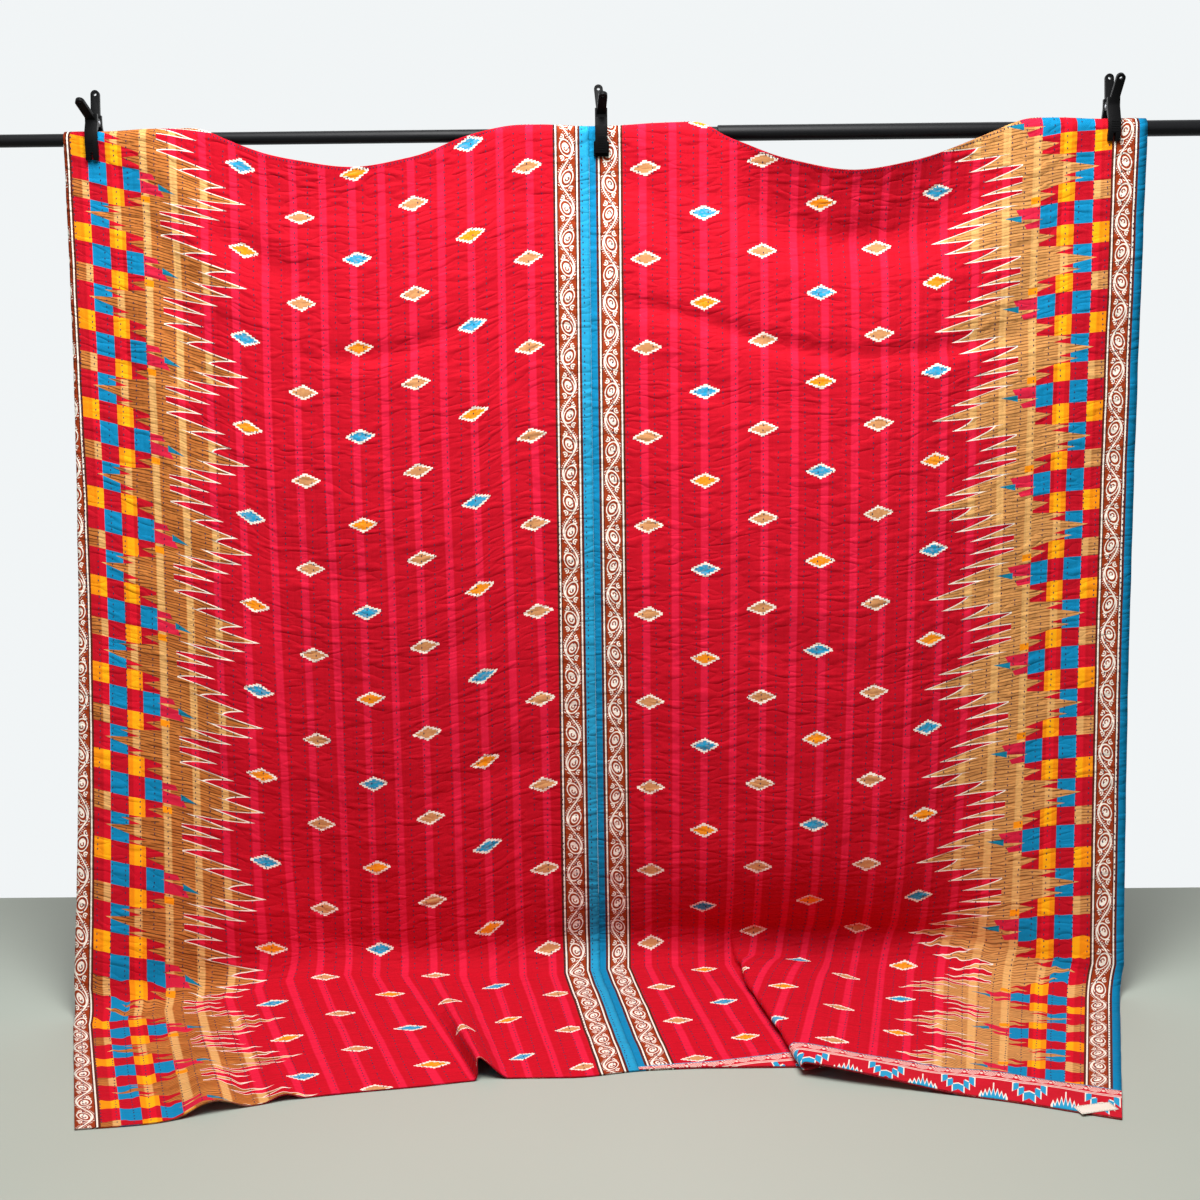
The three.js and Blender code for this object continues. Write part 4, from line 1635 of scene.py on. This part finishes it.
@dataclass
class Binding:
    """Back cloth turned up over the right panel's front hem."""

    drape: Drape
    panel: Panel
    cloth: bpy.types.Material
    thickness: float = 1.5
    seat: float = 0.3
    rows: int = 12
    fine: tuple[float, float] = (1440, 1660)
    steps: tuple[float, float, float] = (6.0, 1.6, 6.0)
    # s, width of the turned strip
    turned: Rows = (
        (1083, 12), (1200, 22), (1300, 48), (1480, 70), (1700, 92), (1900, 108), (2195, 112),
    )

    def build(self) -> bpy.types.Object:
        """Makes the strip.

        Returns:
            The strip.
        """
        start, end = self.panel.limits()
        knots = [start, *self.fine, end]
        parts = [np.arange(a, b, step) for a, b, step in zip(knots, knots[1:], self.steps)]
        s = np.concatenate([*parts, [end]])
        width = curve_through(self.turned, 1)(s)
        share = np.linspace(0, 1, self.rows + 1)
        q = np.empty((len(share), len(s)))
        for i, line in enumerate(s):
            down = self.drape.whole(line) - width[i] * (1 - share)
            q[:, i] = self.drape.stage_at(line, down)
        lines = np.broadcast_to(s, q.shape)
        low = self.drape.thickness / 2 + self.seat
        lifts = (low + self.thickness, low)
        points = [self.panel.surface(lines, q, lift)[0].reshape(-1, 3) for lift in lifts]
        quads, _ = sheet_faces(*q.shape)
        piece = new_mesh("turned_back_cloth", np.concatenate(points), quads, [self.cloth])
        place = np.stack([lines, share[:, None] * width], -1).reshape(-1, 2) * MM
        set_flat_place(piece, "weave", np.concatenate([place, place]))
        return piece


@dataclass
class Label:
    """A blank tape label at the right front corner."""

    drape: Drape
    tape: bpy.types.Material
    width: float = 70
    depth: float = 30
    thickness: float = 0.8
    turn: float = 0.25
    from_corner: tuple[float, float] = (-34, 37)
    height: float = 5.5
    bow: float = 0.5
    steps: tuple[int, int] = (10, 16)
    stitch_inset: float = 2.2
    stitch_step: float = 5.0

    def place(self, x: Array, y: Array, lift: float) -> Array:
        """Points on the label, in metres, from places on the flat tape.

        Args:
            x: Places across the tape.
            y: Places up it.
            lift: Distance above the tape's middle.

        Returns:
            The points.
        """
        corner = self.drape.point(self.drape.width, FRONT_HEM)
        cos, sin = math.cos(self.turn), math.sin(self.turn)
        z = self.height + lift + self.bow * (np.cos(math.pi * x / self.width) - 0.5)
        across = corner[0] + self.from_corner[0] + x * cos - y * sin
        forward = corner[1] + self.from_corner[1] + x * sin + y * cos
        return self.drape.placed(np.stack([across, forward, z], -1))

    def build(self) -> bpy.types.Object:
        """Makes the label.

        Returns:
            The label.
        """
        x, y = np.meshgrid(
            np.linspace(-0.5, 0.5, self.steps[1]) * self.width,
            np.linspace(0.5, -0.5, self.steps[0]) * self.depth,
        )
        half = self.thickness / 2
        points = [self.place(x, y, lift).reshape(-1, 3) for lift in (half, -half)]
        quads, _ = sheet_faces(*x.shape)
        piece = new_mesh("blank_label", np.concatenate(points), quads, [self.tape])
        flat = np.stack([x, y], -1).reshape(-1, 2) * MM
        set_flat_place(piece, "weave", np.concatenate([flat, flat]))
        return piece

    def stitches(self) -> tuple[Array, Array, Array]:
        """Places, runs and faces of the stitches round its edge.

        Returns:
            One row for each stitch.
        """
        inset, step = self.stitch_inset, self.stitch_step
        across = np.arange(-self.width / 2 + 4, self.width / 2 - 3, step)
        up = np.arange(-self.depth / 2 + 4, self.depth / 2 - 3, step)
        rows = [(across, np.full_like(across, k * (self.depth / 2 - inset))) for k in (-1, 1)]
        rows += [(np.full_like(up, k * (self.width / 2 - inset)), up) for k in (-1, 1)]
        x, y = (np.concatenate(part) for part in zip(*rows))
        along = np.repeat([0, 1], [2 * len(across), 2 * len(up)])
        cos, sin = math.cos(self.turn), math.sin(self.turn)
        runs = np.where(along[:, None] == 0, [cos, sin, 0], [-sin, cos, 0])
        return self.place(x, y, self.thickness / 2), runs, np.tile([0.0, 0.0, 1.0], (len(x), 1))


class Bit(Enum):
    """Small shapes that repeat."""

    STITCH = "GeometryNodeMeshUVSphere"
    RIB = "GeometryNodeMeshCube"


@dataclass(frozen=True)
class Repeater:
    """Puts one small shape at many places, with Geometry Nodes."""

    bit: Bit
    size: tuple[float, float, float]

    def tree(self) -> bpy.types.NodeTree:
        """The node group: named sizes and a finish in, a plain mesh out.

        Returns:
            The group.
        """
        group = bpy.data.node_groups.new(f"repeat_{self.bit.name.lower()}", "GeometryNodeTree")
        for name, way, kind in (
            ("Geometry", "INPUT", "Geometry"),
            ("Size", "INPUT", "Vector"),
            ("Finish", "INPUT", "Material"),
            ("Geometry", "OUTPUT", "Geometry"),
        ):
            group.interface.new_socket(name, in_out=way, socket_type=f"NodeSocket{kind}")

        def node(
            kind: str, settings: Mapping[str, object], **inputs: object
        ) -> bpy.types.NodeSocket:
            """The first output of a new node, from its settings and its sockets."""
            return add_node(group, kind, settings, inputs).outputs[0]

        given = add_node(group, "NodeGroupInput", {}, {}).outputs
        sizes = {"Size": (1.0, 1.0, 1.0)}
        if self.bit is Bit.STITCH:
            sizes = {"Segments": 4, "Rings": 3, "Radius": 0.5}
        shape = node(self.bit.value, {}, **sizes)
        sized = node("GeometryNodeTransform", {}, Geometry=shape, Scale=given["Size"])
        run, facing = (
            node("GeometryNodeInputNamedAttribute", {"data_type": "FLOAT_VECTOR"}, Name=name)
            for name in ("run", "facing")
        )
        turn = node("FunctionNodeAlignRotationToVector", {"axis": "X"}, Vector=run)
        settings = {"axis": "Z", "pivot_axis": "X"}
        turn = node("FunctionNodeAlignRotationToVector", settings, Rotation=turn, Vector=facing)
        spots = {"Points": given["Geometry"], "Instance": sized, "Rotation": turn}
        placed = node("GeometryNodeInstanceOnPoints", {}, **spots)
        real = node("GeometryNodeRealizeInstances", {}, Geometry=placed)
        dressed = node("GeometryNodeSetMaterial", {}, Geometry=real, Material=given["Finish"])
        add_node(group, "NodeGroupOutput", {}, {0: dressed})
        return group

    def build(
        self, name: str, places: Array, runs: Array, facing: Array, finish: bpy.types.Material
    ) -> bpy.types.Object:
        """Makes all the shapes as one mesh.

        Args:
            name: The piece's name.
            places: Where they are, in metres.
            runs: Their long directions.
            facing: Their upward directions.
            finish: Their material.

        Returns:
            The piece.
        """
        seeds = new_mesh(f"{name}_seeds", places, [], [])
        for key, values in (("run", runs), ("facing", facing)):
            layer = seeds.data.attributes.new(key, "FLOAT_VECTOR", "POINT")
            layer.data.foreach_set("vector", np.asarray(values, np.float32).ravel())
        modifier = seeds.modifiers.new("repeat", "NODES")
        modifier.node_group = self.tree()
        values = {"Size": tuple(side * MM for side in self.size), "Finish": finish}
        for item in modifier.node_group.interface.items_tree:
            if item.in_out == "INPUT" and item.name in values:
                modifier[item.identifier] = values[item.name]
        graph = bpy.context.evaluated_depsgraph_get()
        mesh = bpy.data.meshes.new_from_object(seeds.evaluated_get(graph), depsgraph=graph)
        mesh.name = name
        bpy.data.objects.remove(seeds)
        return add_object(name, mesh)


@dataclass
class Quilting:
    """Running stitches in rows down a panel, and overcast ones along its top hem."""

    panel: Panel
    thread: bpy.types.Material
    pitch: float = 28
    step: float = 12
    first: float = 16
    ends: tuple[float, float] = (14, 8)
    side: float = 6
    uneven: float = 1.1
    missed: float = 0.05
    sway: tuple[float, float, float] = (1.2, 90, 0.35)
    hem_pitch: float = 7.0
    hem_down: float = 5.0
    hem_side: float = 4
    probe: float = 0.004
    size: tuple[float, float, float] = (5.8, 3.0, 1.5)
    seed: int = 7

    def places(self) -> tuple[Array, Array]:
        """Lines and stages of the stitches.

        Returns:
            Both, one for each stitch.
        """
        chance = np.random.default_rng(self.seed)
        drape = self.panel.drape
        start, end = self.panel.limits()
        lines, stages = [], []
        top, bottom = self.ends
        wide, long, spread = self.sway
        for s in np.arange(start + self.first, end - self.side, self.pitch):
            from_hem = top + self.step * chance.random()
            a = np.arange(from_hem, drape.whole(s) - bottom, self.step)
            a = a + chance.normal(0, self.uneven, len(a))
            a = a[chance.random(len(a)) > self.missed]
            sway = s + wide * np.sin(a / long + s) + chance.normal(0, spread, len(a))
            lines.append(np.clip(sway, start, end))
            stages.append(drape.stage_at(s, a))
        hem = np.arange(start + self.side, end - self.hem_side, self.hem_pitch)
        lines.append(hem)
        stages.append(np.array([drape.stage_at(s, self.hem_down) for s in hem]))
        return np.concatenate(lines), np.concatenate(stages)

    def build(self) -> bpy.types.Object:
        """Makes the stitches.

        Returns:
            The stitches.
        """
        s, q = self.places()
        lift = self.panel.drape.thickness / 2
        place, facing = self.panel.surface(s, q, lift)
        ahead, _ = self.panel.surface(s, np.minimum(FRONT_HEM, q + self.probe), lift)
        behind, _ = self.panel.surface(s, np.maximum(0, q - self.probe), lift)
        repeater = Repeater(Bit.STITCH, self.size)
        name = f"{self.panel.side.value}_quilting"
        return repeater.build(name, place, ahead - behind, facing, self.thread)


@dataclass
class Rod:
    """The two tubes of the telescoping rod."""

    paint: bpy.types.Material
    steel: bpy.types.Material
    sides: int = 56
    chamfer: float = 0.0016
    wall: float = 0.0016
    bore: float = 0.03
    bore_step: float = 0.002
    socket: tuple[float, float] = (0.01335, 0.0133)
    crisp: float = 28
    button: tuple[float, float] = (1.213, 0.0045)
    button_sides: int = 20

    def lathe(self, name: str, axis: Array, profile: Rows) -> bpy.types.Object:
        """A painted body turned about a line along X.

        Args:
            name: The piece's name.
            axis: A point on the line.
            profile: Pairs of x and radius, closed on the line at both ends.

        Returns:
            The body.
        """
        turn = np.linspace(0, 2 * math.pi, self.sides, endpoint=False)
        x, radius = (np.array(part)[:, None] for part in zip(*profile))
        y, z = axis[1] + radius * np.cos(turn), axis[2] + radius * np.sin(turn)
        points = np.stack([np.broadcast_to(x, y.shape), y, z], -1).reshape(-1, 3)
        piece = new_mesh(name, points, ring_faces(len(profile), self.sides), [self.paint])
        piece.data.set_sharp_from_angle(angle=math.radians(self.crisp))
        return piece

    def tube(self, node: str, name: str) -> bpy.types.Object:
        """A tube with softened ends, in the place of the model's tube.

        Args:
            node: The tube's node.
            name: The piece's name.

        Returns:
            The tube.
        """
        low, high = box_of(node)
        radius = (high[2] - low[2]) / 2
        soft = self.chamfer
        hollow = radius - self.wall
        start, end = low[0], high[0]
        mouths, deep = (hollow, hollow - self.bore_step), self.bore
        profile = [(end - deep, mouths[1]), (end - deep, hollow), (end, hollow)]
        profile += [(end, radius - soft), (end - soft, radius), (start + soft, radius)]
        profile += [(start, radius - soft)]
        if node == "rod_right":
            mouths, deep = self.socket, self.bore_step
        profile += [(start, mouths[0]), (start + deep, mouths[0]), (start + deep, mouths[1])]
        return self.lathe(name, (low + high) / 2, profile[::-1])

    def build(self) -> list[tuple[bpy.types.Object, str]]:
        """Makes the tubes and the small button that locks them.

        Returns:
            The pieces and the nodes that they stand for; the button has none.
        """
        pieces = []
        for side in Side:
            node = f"rod_{side.value}"
            pieces.append((self.tube(node, f"{side.value}_tube"), node))
        low, high = box_of("rod_right")
        axis = (low + high) / 2
        # how far each ring stands out of the tube, and its share of the button's radius
        rings = np.array([(-0.002, 1.0), (0.0006, 1.0), (0.0016, 0.75), (0.002, 0.3)])
        out = (high[2] - low[2]) / 2 + rings[:, :1]
        radius = self.button[1] * rings[:, 1:]
        turn = np.linspace(0, 2 * math.pi, self.button_sides, endpoint=False)
        x, z = self.button[0] + radius * np.cos(turn), axis[2] + radius * np.sin(turn)
        points = np.stack([x, np.broadcast_to(axis[1] - out, x.shape), z], -1).reshape(-1, 3)
        faces = ring_faces(len(rings), self.button_sides)
        pieces.append((new_mesh("lock_button", points, faces, [self.steel]), ""))
        return pieces


@dataclass
class Clamp:
    """A spring clamp: softened levers and pads, a coiled spring and a pin."""

    name: str
    plastic: bpy.types.Material
    pad: bpy.types.Material
    steel: bpy.types.Material
    soft: float = 0.0011
    flat_angle: float = 3
    edge_angle: float = 0.6
    crisp: float = 42
    coils: int = 5
    coil_steps: int = 18
    wire: float = 0.0008
    wire_sides: int = 8
    ribbed: tuple[float, float, float] = (0.006, 0.040, 0.0046)
    rib: tuple[float, float, float] = (15.0, 1.7, 1.6)

    def softened(self, node: str, finish: bpy.types.Material) -> bpy.types.Object:
        """A copy of a node of the model with its edges rounded.

        Args:
            node: The node.
            finish: Its material.

        Returns:
            The copy.
        """
        body = bmesh.new()
        body.from_mesh(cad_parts[node].data)
        bmesh.ops.remove_doubles(body, verts=body.verts, dist=1e-5)
        flat = math.radians(self.flat_angle)
        bmesh.ops.dissolve_limit(body, angle_limit=flat, verts=body.verts, edges=body.edges)
        joined = [edge for edge in body.edges if len(edge.link_faces) == 2]
        sharp = [edge for edge in joined if edge.calc_face_angle() > self.edge_angle]
        rounding = {"segments": 2, "profile": 0.6, "affect": "EDGES", "clamp_overlap": True}
        bmesh.ops.bevel(body, geom=sharp, offset=self.soft, **rounding)
        bmesh.ops.triangulate(body, faces=[face for face in body.faces if len(face.verts) > 4])
        mesh = bpy.data.meshes.new(f"{node}_soft")
        body.to_mesh(mesh)
        body.free()
        mesh.polygons.foreach_set("use_smooth", [True] * len(mesh.polygons))
        mesh.set_sharp_from_angle(angle=math.radians(self.crisp))
        mesh.materials.clear()
        mesh.materials.append(finish)
        return add_object(f"{node}_soft", mesh)

    def spring(self) -> bpy.types.Object:
        """A coil of wire round the pin.

        Returns:
            The coil.
        """
        low, high = box_of(f"clamp_{self.name}_spring")
        middle = (low + high) / 2
        radius = (high[1] - low[1]) / 2 - self.wire
        half = (high[0] - low[0]) / 2 - self.wire
        t = np.linspace(0, 1, self.coils * self.coil_steps + 1)
        turn = 2 * math.pi * self.coils * t
        around = np.linspace(0, 2 * math.pi, self.wire_sides, endpoint=False)
        x = middle[0] - half + 2 * half * t
        reach = radius + self.wire * np.cos(around)[None, :]
        points = np.stack(
            [
                x[:, None] + self.wire * np.sin(around)[None, :],
                middle[1] + reach * np.cos(turn)[:, None],
                middle[2] + reach * np.sin(turn)[:, None],
            ],
            -1,
        )
        faces = [face[::-1] for face in ring_faces(len(t), self.wire_sides)]
        return new_mesh(f"clamp_{self.name}_coil", points.reshape(-1, 3), faces, [self.steel])

    def ribs(self) -> bpy.types.Object | None:
        """Raised ribs across the front of the jaw.

        Returns:
            The ribs, or None where the jaw has no flat for them.
        """
        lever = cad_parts[f"clamp_{self.name}_front_lever"]
        low, high = box_of(lever.name)
        places, faces = [], []
        middle = (low[0] + high[0]) / 2
        first, last, step = self.ribbed
        for z in np.arange(low[2] + first, low[2] + last, step):
            ahead = Vector((middle, low[1] - 0.1, z))
            hit, place, normal, _ = lever.ray_cast(ahead, Vector((0, 1, 0)))
            if hit and normal.y < -0.5:
                places.append(tuple(place))
                faces.append(tuple(normal))
        if not places:
            return None
        runs = np.tile([1.0, 0.0, 0.0], (len(places), 1))
        shape = np.array(places), runs, np.array(faces)
        return Repeater(Bit.RIB, self.rib).build(f"clamp_{self.name}_ribs", *shape, self.plastic)

    def build(self) -> list[tuple[bpy.types.Object, str, str]]:
        """Makes the pieces.

        Returns:
            Each piece with the node that it stands for and its slot.
        """
        pieces = []
        for part, finish, slot in (
            ("front_lever", self.plastic, "clamp_plastic"),
            ("back_lever", self.plastic, "clamp_plastic"),
            ("front_pad", self.pad, "clamp_pad"),
            ("back_pad", self.pad, "clamp_pad"),
            ("pin", self.steel, "clamp_steel"),
        ):
            node = f"clamp_{self.name}_{part}"
            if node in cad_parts:
                pieces.append((self.softened(node, finish), node, slot))
        pieces.append((self.spring(), f"clamp_{self.name}_spring", "clamp_steel"))
        ribs = self.ribs()
        if ribs:
            pieces.append((ribs, "", "clamp_plastic"))
        return pieces


@dataclass
class Stage:
    """Floor, light and camera."""

    drape: Drape
    focal_px: float = 1700
    frame_px: float = 1200
    distance: float = 3.55
    height: float = 1.30
    pitch: float = 8.2
    roll: float = 0.6
    yaw: float = 0.3
    sensor: float = 36.0
    far: float = 60.0
    floor_reach: float = 8.0
    floor_behind: float = 0.46
    floor_drop: float = 0.0004

    def build(self) -> None:
        """Makes all of it."""
        self._camera()
        self._floor()
        self._lights()

    def _camera(self) -> None:
        """A camera at the photograph's viewing angle."""
        data = bpy.data.cameras.new("view")
        data.sensor_width = self.sensor
        data.lens = self.sensor * self.focal_px / self.frame_px
        data.clip_end = self.far
        camera = add_object("view", data)
        turn = Euler((math.radians(90 - self.pitch), 0, math.radians(self.yaw)), "XYZ").to_matrix()
        turn = turn @ Matrix.Rotation(math.radians(-self.roll), 3, "Z")
        place = Vector(self.drape.shift) + Vector((0, -self.distance, self.height))
        camera.matrix_world = Matrix.Translation(place) @ turn.to_4x4()
        bpy.context.scene.camera = camera

    def _floor(self) -> None:
        """A plain pale floor."""
        shade = Shade("pale_floor")
        cloudy = shade.noise(shade.object_place(), 0.8, 3.0)
        colour = shade.mix(cloudy, ink(165, 172, 160), ink(176, 182, 172))
        material = shade.surface({"Base Color": colour, "Roughness": 0.6})
        reach, low = self.floor_reach, -self.floor_drop
        behind = self.drape.shift[1] + self.floor_behind
        near = [(-reach, -reach, low), (reach, -reach, low)]
        points = np.array([*near, (reach, behind, low), (-reach, behind, low)])
        floor = new_mesh("floor", points, [(0, 1, 2, 3)], [material])

    def _lights(self) -> None:
        """Soft light from above and in front, over a pale surround."""
        world = bpy.data.worlds.new("surround")
        bpy.context.scene.world = world
        world.use_nodes = True
        light = world.node_tree.nodes["Background"].inputs
        light["Color"].default_value = (0.93, 0.96, 0.97, 1)
        light["Strength"].default_value = 0.95
        world.cycles_visibility.diffuse = False
        bpy.context.scene.view_settings.view_transform = "Standard"
        # name, place, what it is aimed at, side, watts
        lamps = (
            ("key", (-0.5, -0.85, 3.5), (0.0, 0.2, 0.9), 1.8, 52.0),
            ("front", (0.0, -1.4, 3.3), (0.0, 0.2, 0.9), 1.8, 92.0),
            ("crest", (0.2, -0.45, 3.2), (0.0, 0.1, 0.9), 1.5, 26.0),
            ("behind", (0.0, 2.8, 2.2), (0.0, 0.7, 0.0), 3.0, 30.0),
        )
        for name, place, target, size, power in lamps:
            data = bpy.data.lights.new(name, "AREA")
            data.shape = "SQUARE"
            data.size = size
            data.energy = power
            lamp = add_object(name, data)
            lamp.location = place
            aim = Vector(target) - Vector(place)
            lamp.rotation_euler = aim.to_track_quat("-Z", "Y").to_euler()


def place_piece(piece: bpy.types.Object, node: str, slot: str) -> None:
    """Args:
        piece: The piece.
        node: The node of the model that it stands for, or nothing.
        slot: Its material slot; not used.
    """
    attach(piece, "root")
    if node:
        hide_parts(node)
    LOG.info("%s: %d faces", piece.name, len(piece.data.polygons))


def build_quilt(drape: Drape) -> None:
    """Makes the panels, their quilting, the turned strip and the label.

    Args:
        drape: The shape that they hang in.
    """
    back = BackCloth().material()
    navy = Thread().material()
    selvedges = {Side.LEFT: Dye.BLUE_LIGHT, Side.RIGHT: Dye.BLUE}
    for side in Side:
        cloth = KanthaCloth(selvedge=selvedges[side], faded=0.8 if side is Side.RIGHT else 0.0)
        panel = Panel(drape, side, {zone: cloth.material(zone) for zone in Zone}, back)
        sheet, stitches = panel.build(), Quilting(panel, navy).build()
        place_piece(sheet, f"{side.value}_panel", f"quilt_{side.value}")
        place_piece(stitches, "", f"quilt_{side.value}")
        start, end = panel.limits()
        flat = ((end - start) * MM, 2.37)
    strip = Binding(drape, panel, back).build()
    place_piece(strip, "binding", "back_cloth")
    label = Label(drape, LabelTape().material())
    tape = label.build()
    place_piece(tape, "label", "label_tape")
    edge = Repeater(Bit.STITCH, (3.4, 0.8, 0.6)).build("label_stitches", *label.stitches(), navy)
    place_piece(edge, "", "label_tape")


def build_holders() -> None:
    """Makes the rod and the three clamps."""
    paint, plastic, pad = (
        BlackFinish(*values).material()
        for values in (
            ("black_tube", (12, 12, 14), (18, 18, 20), 420.0, 0.0001, 0.62, 0.15),
            ("clamp_plastic", (8, 8, 9), (13, 13, 14), 700.0, 0.0002, 0.58, 0.07),
            ("clamp_pad", (6, 6, 6), (10, 10, 10), 500.0, 0.0002, 0.25, 0.05),
        )
    )
    steel = SpringSteel().material()
    for piece, node in Rod(paint, steel).build():
        place_piece(piece, node, "black_tube" if node else "clamp_steel")
    for name in ("left", "middle", "right"):
        for piece, node, slot in Clamp(name, plastic, pad, steel).build():
            place_piece(piece, node, slot)


def main() -> None:
    """Builds the pieces in order."""
    logging.basicConfig(level=logging.INFO, format="%(name)s: %(message)s")
    drape = Drape()
    Stage(drape).build()
    build_quilt(drape)
    build_holders()


if __name__ == "__main__":
    main()
